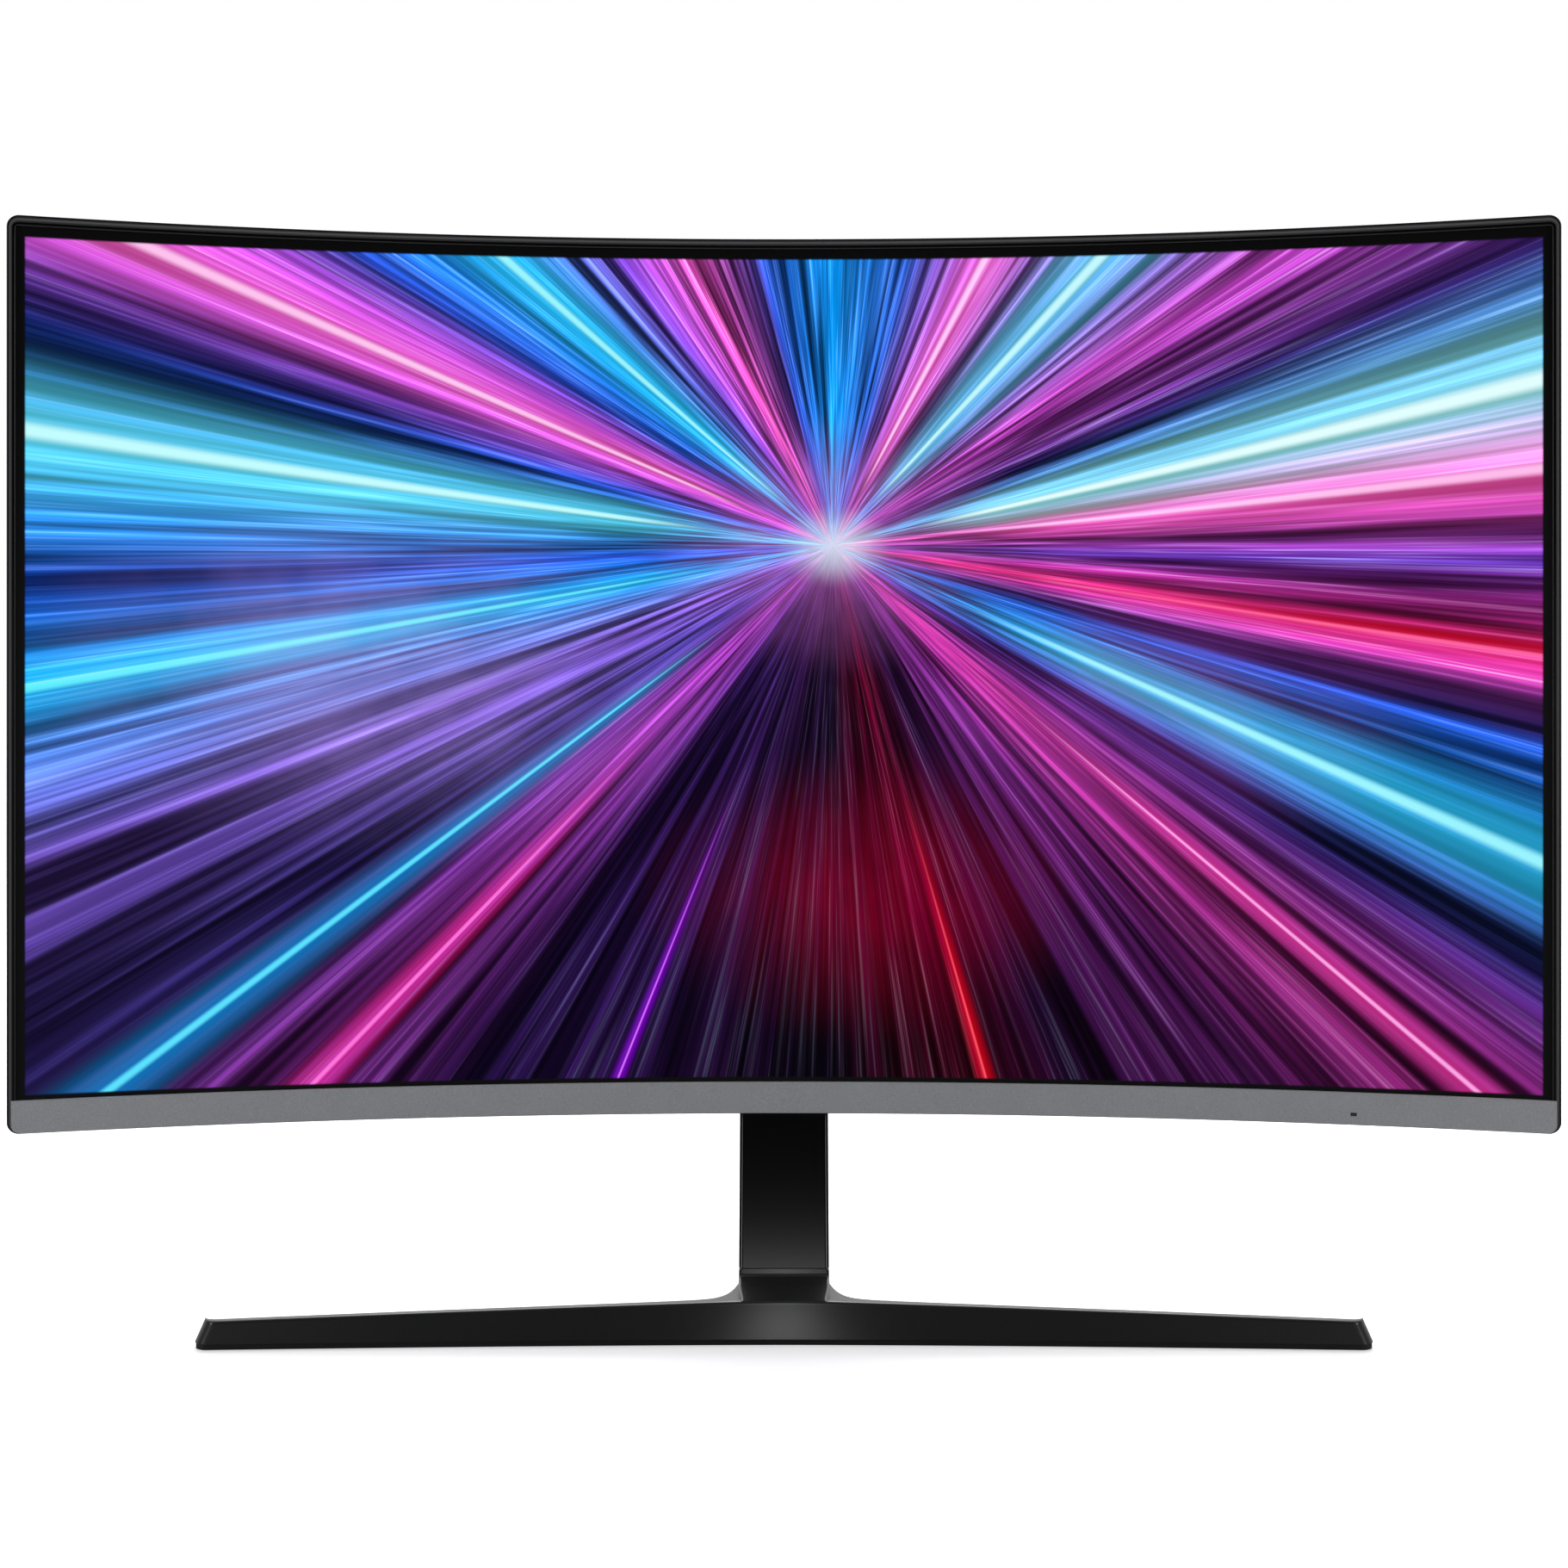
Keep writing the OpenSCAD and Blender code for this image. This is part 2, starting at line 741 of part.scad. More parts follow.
module hinge_head_plate() {
  ear = 3;
  thick = 2.6;
  half = [44, 34];
  color([0.2, 0.2, 0.21])
  difference() {
    union() {
      translate([0, 0, pivot_z]) {
        box([-half[0], plate_front, -half[1]], [half[0], plate_front + thick, half[1]]);
        for (x = [-ear_x, ear_x])
          box([x - ear / 2, plate_front + 1, -knuckle_r], [x + ear / 2, pivot_y, knuckle_r]);
      }
      at_pivot() for (x = [-ear_x, ear_x]) translate([x, 0, 0]) rod_x(knuckle_r, ear);
    }
    at_pivot() rod_x(pin_r + 0.01, 60);
    translate([0, 30, pivot_z]) at_corners(hinge_fix) rod_y(2 + fit, 20);
  }
}

module hinge_plate_screws() {
  color([0.6, 0.6, 0.62])
  translate([0, bulge_t + 2.75, pivot_z]) at_corners(hinge_fix) screw_y_axis(3.8, 2.2, 1.96, 8.6);
}

module hinge_pin() {
  color([0.75, 0.75, 0.76]) at_pivot() rod_x(pin_r, 58);
}

module washer(x, outer, thick) {
  at_pivot() translate([x, 0, 0])
  difference() {
    rod_x(outer, thick);
    rod_x(pin_r + 0.02, thick + 2);
  }
}

module friction_washers() {
  color([0.55, 0.45, 0.2])
  for (s = [-1, 1], x = [16.1, 16.85, 17.6, 21.4]) washer(s * x, 8.6, 0.7);
}

// Cone-shaped spring washers, stacked in opposite pairs between the ear and the nut.
module spring_washers() {
  color([0.3, 0.3, 0.32])
  at_pivot()
  for (s = [-1, 1]) rotate([0, s * 90, 0]) translate([0, 0, 23.475])
    for (flip = [0, 1]) mirror([0, 0, flip]) translate([0, 0, -1.675])
      rotate_extrude() polygon([[pin_r + 0.05, 0.75], [pin_r + 0.05, 1.65], [8, 0.9], [8, 0]]);
}

module hinge_nuts() {
  color([0.65, 0.65, 0.66])
  at_pivot()
  for (s = [-1, 1]) rotate([0, s * 90, 0]) translate([0, 0, 25.2])
  difference() {
    cylinder(r = 7, h = 3.4, $fn = 6);
    translate([0, 0, -1]) cylinder(r = pin_r + 0.02, h = 6);
  }
}

// Sleeve over the back of the knuckle; its flat tail runs down to the neck's rear cover.
module hinge_cover() {
  inner_r = 9.05;
  half_w = 15.8;
  tail_y = 12.4;
  color([0.1, 0.1, 0.11]) {
    at_pivot()
    difference() {
      rod_x(inner_r + 1.55, 2 * half_w);
      rod_x(inner_r, 40);
      translate([-20, -12, -20]) cube([40, 14, 40]);
      rotate([180 - neck_lean, 0, 0]) translate([-20, -20, 0]) cube([40, 40, 20]);
    }
    on_neck() box([-half_w, tail_y, neck_len - 3.9], [half_w, tail_y + 1.5, neck_len + 15]);
  }
}

// ---------- neck ----------

// Puts children in the neck's own frame: +Z up the lean, y = 0 on the front face.
module on_neck() {
  translate(neck_base) rotate([-neck_lean, 0, 0]) children();
}

// Block at the neck's foot that takes the thumb screw, grown by g.
module neck_socket(g) {
  box([-13 - g, 10 - g, 7.6 - g], [13 + g, 26 + g, 18.6 + g]);
}

// The frame's straight bar up to a height along the lean, grown by g.
module frame_bar(g, top) {
  box([-frame_core[0] - g, frame_core[1] - g, -14 - g], [frame_core[0] + g, frame_core[2] + g, top]);
}

module at_neck_screws() {
  on_neck() for (z = neck_screw_heights) translate([0, 0, z]) children();
}

module neck_frame() {
  head_half = 15.7;  // half width of the knuckle
  color([0.6, 0.61, 0.62])
  difference() {
    union() {
      on_neck() frame_bar(0, neck_len - 1);
      at_pivot() rod_x(knuckle_r, 2 * head_half);
      on_neck() box([-head_half, frame_core[1], neck_len - 8], [head_half, frame_core[2], neck_len + 8]);
      neck_socket(0);
    }
    at_pivot() rod_x(pin_r + 0.04, 40);
    // thread of the thumb screw
    at_thumb() cylinder(r = 3, h = 22);
    at_neck_screws() rod_y(board_screw_r + fit, 20);
  }
}

// Outline of both covers together.
module neck_shell() {
  box([-neck_w / 2, 0, 0], [neck_w / 2, neck_t, neck_len - 4]);
}

// Everything under the foot's top, where the covers end.
module below_neck() {
  translate([-50, 0, 0]) cube([100, 60, covers_z]);
}

module neck_front_cover() {
  inner = neck_w / 2 - cover_wall;
  color([0.09, 0.09, 0.1])
  difference() {
    on_neck() neck_shell();
    on_neck() box([-inner, cover_wall, -past], [inner, neck_t + past, neck_len]);
    on_neck() box([-neck_w, neck_t / 2, -past], [neck_w, neck_t + past, neck_len]);
    below_neck();
  }
}

module neck_rear_cover() {
  inner = neck_w / 2 - cover_wall;
  color([0.09, 0.09, 0.1])
  difference() {
    on_neck() neck_shell();
    on_neck() box([-inner, -past, -8], [inner, neck_t - cover_wall, neck_len]);
    on_neck() box([-neck_w, -past, -8], [neck_w, neck_t / 2 + gap, neck_len]);
    at_neck_screws() rod_y(board_screw_r + fit, 20);
    // opening for the cables
    on_neck() box([-12, 8, 112], [12, 20, 126]);
    below_neck();
  }
}

module neck_screws() {
  color([0.15, 0.15, 0.15])
  at_neck_screws() translate([0, neck_t + 0.02, 0]) screw_y_axis(2.4, 1.2, board_screw_r, 9);
}

// ---------- foot ----------

// Where the foot's front edge touches the bottom plate, at distance a from the middle.
function foot_front(a) = -28 - 7 * pow(a / foot_half, 1.6);
// Height of the front edge at a.
function foot_edge(a) = foot_h + 0.43 - foot_fall * sqrt(a * a + 225);
// How far the flat top reaches behind the front edge at a: it flares in a tight curve beside the neck.
function foot_top_depth(a) =
  let (beside = max(0, a - neck_w / 2))
  4.5 + 2.5 * exp(-beside / 30) + 23 * exp(-beside / 4.3);
// Rounding of the plan at the foot's ends.
function end_inset(a, r) = a < foot_half - r ? 0 : r - sqrt(max(0, r * r - pow(a - foot_half + r, 2)));

// One cross section of the foot at signed place s: bottom front, front face, top, rear slope, bottom rear.
function foot_section(s) =
  let (a = abs(s), zt = foot_edge(a), yf = foot_front(a) + end_inset(a, end_r), yt = yf + 5.5,
       yr = yt + foot_top_depth(a) - end_inset(a, 2) * 0.9,
       yb = yr + (zt - plate_z) / 0.42 - 1.6 * end_inset(a, end_r),
       lean = 0.0012)
  [for (p = [[yf, plate_z], [yf + 0.4, plate_z + 1], [yt - 0.5, zt - 1], [yt + 0.3, zt - 0.15],
             [yt + 1.2, zt], [yr - 1.6, zt], [yr - 0.5, zt - 0.2], [yr + 0.8, zt - 0.8],
             [(yr + yb) / 2, (zt + plate_z) / 2 - 0.2], [yb, plate_z + 0.8], [yb + 0.4, plate_z]])
    [s * (1 - lean * (p[1] - plate_z)), p[0], p[1]]];

foot_stations = concat(
  [for (i = [-16:16]) i * 4],
  [for (a = [22, 23, 26, 30], s = [-1, 1]) s * a],
  [for (i = [1:13], s = [-1, 1]) s * (64 + i * 15)],
  [for (d = [6.6, 5, 3, 1.5, 0.4], s = [-1, 1]) s * (foot_half - d)]);

function sorted(v) = len(v) < 2 ? v :
  let (p = v[floor(len(v) / 2)],
       under = [for (x = v) if (x < p) x],
       same = [for (x = v) if (x == p) x],
       over = [for (x = v) if (x > p) x])
  concat(sorted(under), same, sorted(over));

// A closed skin over a row of equal cross sections.
module loft(sections) {
  n = len(sections[0]);
  m = len(sections);
  polyhedron(
    points = [for (s = sections) for (p = s) p],
    faces = concat(
      [[for (j = [n - 1:-1:0]) j]],
      [[for (j = [0:n - 1]) (m - 1) * n + j]],
      [for (i = [0:m - 2], j = [0:n - 1])
        let (k = (j + 1) % n) [i * n + j, (i + 1) * n + k, (i + 1) * n + j]],
      [for (i = [0:m - 2], j = [0:n - 1])
        let (k = (j + 1) % n) [i * n + j, i * n + k, (i + 1) * n + k]]));
}

// Tongue under and behind the neck: a cove in front of the neck, then a gently falling back.
module tongue() {
  half = tongue_w / 2;
  intersection() {
    linear_extrude(60) {
      translate([-half, 0]) square([tongue_w, tongue_y - tongue_r]);
      translate([-half + tongue_r, 0]) square([tongue_w - 2 * tongue_r, tongue_y]);
      for (x = [-1, 1]) translate([x * (half - tongue_r), tongue_y - tongue_r]) circle(tongue_r);
    }
    translate([-60, 0, 0]) rotate([90, 0, 90]) linear_extrude(120)
      polygon([
        [0, plate_z], [0, 19.7], [6, 19.9], [9, 20.3], [11.4, 20.9], [13, 21.7], [14, 22.8],
        [30.5, 22.8], [44, 17.5], [tongue_y - 14, 8.6], [tongue_y, 7], [tongue_y, plate_z]
      ]);
  }
}

module foot_shell() {
  play = 0.15;
  color([0.11, 0.115, 0.12])
  difference() {
    union() {
      loft([for (s = sorted(foot_stations)) foot_section(s)]);
      tongue();
    }
    on_neck() frame_bar(play, 10);
    neck_socket(play);
    at_thumb() {
      cylinder(r = 3.4, h = 20);
      cylinder(r = 7.4, h = 6.4);
      cylinder(r = recess_r, h = 4.2);
    }
    foot_weight_body(play);
    at_foot_screws() cylinder(r = foot_screw_r + fit, h = 7.5);
  }
}

// Steel plate inside the foot, grown by g.
module foot_weight_body(g) {
  bar = [200, -21, -4];      // half length, front and back of the bar in the arms
  stem = [17.5, 137];        // half width and rear end of the plate in the tongue
  translate([0, 0, plate_z - 0.1])
  difference() {
    linear_extrude(3.1 + g) {
      translate([-bar[0] - g, bar[1] - g]) square([2 * (bar[0] + g), bar[2] - bar[1] + 2 * g]);
      translate([-stem[0] - g, bar[1] - g]) square([2 * (stem[0] + g), stem[1] - bar[1] + 2 * g]);
    }
    translate([0, screw_y, -past]) cylinder(r = recess_r + 0.2 - g, h = 6);
  }
}

module foot_weight() {
  color([0.5, 0.5, 0.52])
  difference() {
    translate([0, 0, 0.12]) foot_weight_body(0);
    at_foot_screws() cylinder(r = foot_screw_r + 0.3, h = 10);
  }
}

// The bottom plate's front or rear edge at signed place s.
function plate_edge(s, rear) =
  let (section = foot_section(s))
  rear ? section[len(section) - 1][1] - lip : section[0][1] + 1.2;

module foot_bottom_plate() {
  xs = [for (s = sorted(foot_stations)) if (abs(s) < foot_half - 1.2) s];
  half = tongue_w / 2 - lip;
  straight = tongue_w / 2 - tongue_r - 0.4;
  color([0.07, 0.07, 0.075])
  difference() {
    translate([0, 0, skirt_z]) linear_extrude(plate_z - skirt_z - 0.05)
      union() {
        polygon(concat([for (s = xs) [s, plate_edge(s, false)]],
                       [for (i = [len(xs) - 1:-1:0]) [xs[i], plate_edge(xs[i], true)]]));
        translate([-half, 0]) square([2 * half, tongue_y - 14]);
        translate([-straight, 0]) square([2 * straight, tongue_y - lip]);
        for (x = [-straight, straight]) translate([x, tongue_y - tongue_r - 0.4]) circle(tongue_r - 1);
      }
    at_thumb() cylinder(r = recess_r, h = 10);
    at_foot_screws() cylinder(r = foot_screw_r + fit, h = 10);
    at_foot_screws() cylinder(r = 2.9, h = 1.6);
    // shallow pockets for the rubber pads
    linear_extrude(pad_h + 0.02) pad_outlines(0.1);
  }
}

module at_foot_screws() {
  for (p = foot_screw_places) translate([p[0], p[1], 0]) children();
}

module foot_screws() {
  color([0.2, 0.2, 0.2])
  at_foot_screws() {
    translate([0, 0, 0.85]) cylinder(r = 2.6, h = 0.74);
    translate([0, 0, 1.5]) cylinder(r = foot_screw_r, h = 5.6);
  }
}

// The four rubber pads seen from below, grown by g.
module pad_outlines(g) {
  for (x = [-252, 252]) translate([x, -29 - g]) rounded(20 + 2 * g, 12 + 2 * g, 4 + g);
  translate([0, -20 - g]) rounded(44 + 2 * g, 22 + 2 * g, 5 + g);
  translate([0, 130 - g]) rounded(26 + 2 * g, 14 + 2 * g, 5 + g);
}

module rubber_feet() {
  color([0.03, 0.03, 0.03]) linear_extrude(pad_h) pad_outlines(0);
}

// ---------- thumb screw ----------

module at_thumb() {
  translate([0, screw_y, 0]) children();
}

module thumb_screw() {
  color([0.7, 0.7, 0.71])
  at_thumb()
  difference() {
    union() {
      translate([0, 0, 4]) cylinder(r = 7, h = 2.2);
      translate([0, 0, 6]) cylinder(r = 2.95, h = 13);
      for (x = [-4.6, 4.6]) translate([x, 0, 3]) cube([1.6, 3.6, 2.4], center = true);
    }
    translate([0, 0, ring_z]) rod_x(ring_pin_r + 0.05, 14);
  }
}

// Folding grip: a square frame whose front side is a round pin through the screw's lugs.
module thumb_ring() {
  bar = 1.4;
  color([0.72, 0.72, 0.73])
  at_thumb()
  translate([0, 0, ring_z]) {
    rod_x(ring_pin_r, 12.6);
    for (x = [-6.6, 6.6]) translate([x, 4.6, 0]) cube([bar, 10.4, bar], center = true);
    translate([0, 10, 0]) cube([14.6, 1.6, bar], center = true);
  }
}

front_bezel();
chin_trim();
power_led_lens();
lcd_cell();
mid_frame();
optical_films();
light_guide();
reflector_sheet();
led_strip();
led_packages();
back_chassis();
panel_driver_board();
driver_flex_tapes();
rear_cover();
rear_cover_screws();
vesa_bracket();
stand_bracket();
bracket_screws();
board_tray();
main_board();
scaler_heatsink();
main_board_parts();
hdmi_port();
vga_port();
dc_jack();
audio_jack();
power_board();
power_board_parts();
board_screws();
panel_cable();
key_cable();
jog_board();
jog_switch_housing();
jog_gimbal();
jog_stem();
jog_cap();
hinge_head_plate();
hinge_plate_screws();
hinge_pin();
friction_washers();
spring_washers();
hinge_nuts();
hinge_cover();
neck_frame();
neck_front_cover();
neck_rear_cover();
neck_screws();
foot_shell();
foot_weight();
foot_bottom_plate();
foot_screws();
rubber_feet();
thumb_screw();
thumb_ring();
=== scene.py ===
"""Looks of a curved desktop monitor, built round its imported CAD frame. Metres; +X right, +Y away, +Z up."""
import json
import math

import bmesh
import bpy
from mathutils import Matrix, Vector


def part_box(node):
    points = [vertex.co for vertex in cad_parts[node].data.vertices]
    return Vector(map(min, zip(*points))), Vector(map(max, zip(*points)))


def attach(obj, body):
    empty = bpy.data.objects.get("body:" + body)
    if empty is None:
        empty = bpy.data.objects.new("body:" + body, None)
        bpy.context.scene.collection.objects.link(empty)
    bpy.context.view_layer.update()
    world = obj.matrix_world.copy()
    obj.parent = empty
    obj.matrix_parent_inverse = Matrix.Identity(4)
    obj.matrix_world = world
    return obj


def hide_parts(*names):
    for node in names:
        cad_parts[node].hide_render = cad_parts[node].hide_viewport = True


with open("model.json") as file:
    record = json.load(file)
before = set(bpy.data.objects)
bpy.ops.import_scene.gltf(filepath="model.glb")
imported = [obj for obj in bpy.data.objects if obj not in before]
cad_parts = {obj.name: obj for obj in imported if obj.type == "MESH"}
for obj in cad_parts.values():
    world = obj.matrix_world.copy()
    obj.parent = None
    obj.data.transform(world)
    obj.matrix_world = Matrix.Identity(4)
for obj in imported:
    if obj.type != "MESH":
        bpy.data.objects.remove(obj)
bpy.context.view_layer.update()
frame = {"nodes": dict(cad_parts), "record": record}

MM = 0.001
SCREEN_R = 1.5                     # radius of the screen's curve
NODES = frame["nodes"]


# ---------- places read from the frame ----------

bezel_low, bezel_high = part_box("front_bezel")
glass_low, glass_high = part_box("lcd_cell")
foot_low, foot_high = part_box("foot_shell")

CHORD_HALF = bezel_high.x                                # half the head's width
RIM_HALF = SCREEN_R * math.asin(CHORD_HALF / SCREEN_R)   # the same along the curve
HEAD_BOTTOM = bezel_low.z
HEAD_TOP = bezel_high.z
CHIN_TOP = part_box("chin_trim")[1].z
PICTURE_H = 392.25 * MM
PICTURE_HALF = 350.0 * MM                                # half the picture's width along the curve
PICTURE_BOTTOM = CHIN_TOP + 2.2 * MM
PICTURE_MID = PICTURE_BOTTOM + PICTURE_H / 2


# ---------- mesh helpers ----------

def on_arc(s, t, z):
    """The point s along the screen's curve, t behind its front face, at height z."""
    a = s / SCREEN_R
    return Vector(((SCREEN_R + t) * math.sin(a), (SCREEN_R + t) * math.cos(a) - SCREEN_R, z))


def lerp(a, b, t):
    return a + (b - a) * t


def smoothstep(lo, hi, x):
    t = min(1, max(0, (x - lo) / (hi - lo)))
    return t * t * (3 - 2 * t)


def make_object(name, bm, sharp_deg=35):
    """Turns a bmesh into a smooth-shaded object whose corners stay sharp."""
    bmesh.ops.remove_doubles(bm, verts=bm.verts, dist=1e-7)
    bmesh.ops.recalc_face_normals(bm, faces=bm.faces)
    mesh = bpy.data.meshes.new(name)
    bm.to_mesh(mesh)
    bm.free()
    mesh.shade_smooth()
    mesh.set_sharp_from_angle(angle=math.radians(sharp_deg))
    piece = bpy.data.objects.new(name, mesh)
    bpy.context.scene.collection.objects.link(piece)
    return piece


def skin(bm, rows, closed_rows=False, caps=True):
    """Faces over rows of points. Each row is a closed ring; closed_rows joins the last row to the first."""
    rings = [[bm.verts.new(p) for p in row] for row in rows]
    count = len(rings[0])
    pairs = list(zip(rings, rings[1:] + rings[:1])) if closed_rows else list(zip(rings, rings[1:]))
    for a, b in pairs:
        for i in range(count):
            j = (i + 1) % count
            bm.faces.new((a[i], a[j], b[j], b[i]))
    if caps and not closed_rows:
        bm.faces.new(rings[0])
        bm.faces.new(list(reversed(rings[-1])))
    return rings


def dress(piece, body, slot, material, *nodes):
    """Rides a new piece on its body, gives it its material and hides the CAD nodes that it stands for."""
    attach(piece, body)
    if nodes:
        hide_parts(*nodes)
    piece.data.materials.append(material)
    return piece


# ---------- shader helpers ----------

class Value:
    """A number inside a shader, so that shader arithmetic reads like arithmetic."""

    def __init__(self, tree, socket):
        self.tree = tree
        self.socket = socket

    def math(self, operation, *others):
        node = self.tree.nodes.new("ShaderNodeMath")
        node.operation = operation
        for slot, value in zip(node.inputs, (self,) + others):
            plug(self.tree, value, slot)
        return Value(self.tree, node.outputs[0])

    def __add__(self, other): return self.math("ADD", other)
    def __sub__(self, other): return self.math("SUBTRACT", other)
    def __mul__(self, other): return self.math("MULTIPLY", other)
    def __truediv__(self, other): return self.math("DIVIDE", other)
    def __neg__(self): return self.math("MULTIPLY", -1.0)
    def high(self, other): return self.math("MAXIMUM", other)
    def size(self): return self.math("ABSOLUTE")

    def step(self, lo, hi):
        """0 below lo, 1 above hi and smooth between; lo above hi turns it round."""
        node = self.tree.nodes.new("ShaderNodeMapRange")
        node.interpolation_type = "SMOOTHSTEP"
        turned = lo > hi
        plug(self.tree, self, node.inputs["Value"])
        node.inputs["From Min"].default_value = min(lo, hi)
        node.inputs["From Max"].default_value = max(lo, hi)
        node.inputs["To Min"].default_value = 1.0 if turned else 0.0
        node.inputs["To Max"].default_value = 0.0 if turned else 1.0
        return Value(self.tree, node.outputs["Result"])


def plug(tree, value, slot):
    """Connects a Value or a socket to an input, or sets the input's own value."""
    if isinstance(value, Value):
        tree.links.new(value.socket, slot)
    elif isinstance(value, bpy.types.NodeSocket):
        tree.links.new(value, slot)
    else:
        slot.default_value = value


def vector(tree, x, y, z):
    node = tree.nodes.new("ShaderNodeCombineXYZ")
    for slot, value in zip(node.inputs, (x, y, z)):
        plug(tree, value, slot)
    return node.outputs[0]


def object_coordinates(tree):
    return tree.nodes.new("ShaderNodeTexCoord").outputs["Object"]


def split(tree, socket):
    node = tree.nodes.new("ShaderNodeSeparateXYZ")
    tree.links.new(socket, node.inputs[0])
    return [Value(tree, out) for out in node.outputs]


def noise(tree, coordinates, scale, detail=2.0, roughness=0.5):
    node = tree.nodes.new("ShaderNodeTexNoise")
    tree.links.new(coordinates, node.inputs["Vector"])
    node.inputs["Scale"].default_value = scale
    node.inputs["Detail"].default_value = detail
    node.inputs["Roughness"].default_value = roughness
    return Value(tree, node.outputs["Fac"])


def ramp(tree, value, stops):
    node = tree.nodes.new("ShaderNodeValToRGB")
    plug(tree, value, node.inputs[0])
    elements = node.color_ramp.elements
    while len(elements) < len(stops):
        elements.new(0.5)
    for element, (place, colour) in zip(elements, stops):
        element.position = place
        element.color = (*colour, 1.0)
    return node.outputs["Color"]


def mix(tree, factor, a, b, blend="MIX"):
    """Colour a over to colour b."""
    node = tree.nodes.new("ShaderNodeMix")
    node.data_type = "RGBA"
    node.blend_type = blend
    plug(tree, factor, node.inputs[0])
    for value, slot in ((a, node.inputs[6]), (b, node.inputs[7])):
        plug(tree, (*value, 1.0) if isinstance(value, tuple) else value, slot)
    return node.outputs[2]


def bump(tree, height, distance, strength=1.0):
    node = tree.nodes.new("ShaderNodeBump")
    node.inputs["Strength"].default_value = strength
    node.inputs["Distance"].default_value = distance
    plug(tree, height, node.inputs["Height"])
    return node.outputs["Normal"]


def new_material(name):
    material = bpy.data.materials.new(name)
    material.use_nodes = True
    tree = material.node_tree
    return material, tree, tree.nodes["Principled BSDF"]


def surface(name, colour, roughness, metallic=0.0, grain=400.0, grain_depth=0.0, mottling=0.12,
            coat=0.0, specular=0.5, brushed=None, rough_spread=0.0):
    """A moulded, painted or rolled surface.

    grain is how fine the relief is (features per metre) and grain_depth its height in metres;
    mottling is how far the colour wanders; brushed names the axis that the brushing runs along.
    """
    material, tree, shader = new_material(name)
    place = object_coordinates(tree)
    if brushed is not None:
        x, y, z = split(tree, place)
        stretched = [x, y, z]
        stretched[brushed] = stretched[brushed] * 0.03
        place = vector(tree, *stretched)
    tone = noise(tree, place, grain, 3.0)
    dark = tuple(c * (1 - mottling) for c in colour)
    light = tuple(min(1.0, c * (1 + mottling)) for c in colour)
    plug(tree, mix(tree, tone.step(0.3, 0.7), dark, light), shader.inputs["Base Color"])
    shader.inputs["Metallic"].default_value = metallic
    shader.inputs["Specular IOR Level"].default_value = specular
    shader.inputs["Coat Weight"].default_value = coat
    shader.inputs["Coat Roughness"].default_value = 0.05
    if rough_spread:
        wander = noise(tree, place, grain * 0.2, 2.0)
        plug(tree, wander * (2 * rough_spread) + (roughness - rough_spread), shader.inputs["Roughness"])
    else:
        shader.inputs["Roughness"].default_value = roughness
    if grain_depth:
        plug(tree, bump(tree, tone, grain_depth), shader.inputs["Normal"])
    return material


# ---------- head: front frame, chin and screen ----------

# Widths of the rim in mm.
RIM_SIDE = 3.9
RIM_TOP = 5.0
RIM_UNDER = 1.0
# Depths of its parts behind the screen's front in mm; negative ones are in front of it.
RIM_BACK = 9.0
RIM_WALL = 2.0           # an extra loop, so that the outer wall shades flat
RIM_EDGE = -0.5          # where the rounded outer edge begins
RIM_FACE = -1.2
RIM_GROOVE = -0.7
RIM_LIP = -0.86
RIM_SEAT = -0.1          # the side that faces the glass
RIM_ROUND = 0.7          # radius of the outer edge
RIM_THICK = 1.8          # thickness of the wall behind the face

PAINTED_HIGHLIGHT_LAYER = "satin"    # mesh layer with how much painted highlight the rim's colour carries at each vertex
# Painted highlight on the rim's ridge and inner lip, as how far their colour is lightened, by place in the
# list that rim_profile() gives.
RIM_PAINTED_HIGHLIGHTS = {7: 0.4, 8: 1.0, 9: 0.6, 10: 0.25, 13: 0.25, 14: 0.25}
# Light grey painted onto the ridge and inner lip, standing in for the thin lines of light that they catch.
PAINTED_HIGHLIGHT_COLOUR = (0.19, 0.192, 0.2)


def rim_profile(width):
    """The rim's cross-section as (inset, depth) pairs: outer wall, flat band, ridge, groove, inner lip."""
    band = width * 0.3
    groove = width * 0.66
    lip = width * 0.86
    wall = min(width, RIM_THICK)
    points = [(0.0, RIM_BACK), (0.0, RIM_WALL), (0.0, RIM_EDGE)]
    for degrees in (20, 40, 60, 80):
        a = math.radians(degrees)
        points.append((RIM_ROUND - RIM_ROUND * math.cos(a), RIM_EDGE - RIM_ROUND * math.sin(a)))
    points.append((band, RIM_FACE))
    for t in (0.25, 0.5, 0.75, 1.0):
        points.append((lerp(band, groove, t), lerp(RIM_FACE, RIM_GROOVE, smoothstep(0, 1, t))))
    points += [(lip, RIM_GROOVE), (lerp(lip, width, 0.25), RIM_LIP), (lerp(lip, width, 0.75), RIM_LIP)]
    points += [(width, RIM_GROOVE), (width, RIM_SEAT), (wall, RIM_SEAT), (wall, RIM_BACK)]
    return [(inset * MM, depth * MM) for inset, depth in points]


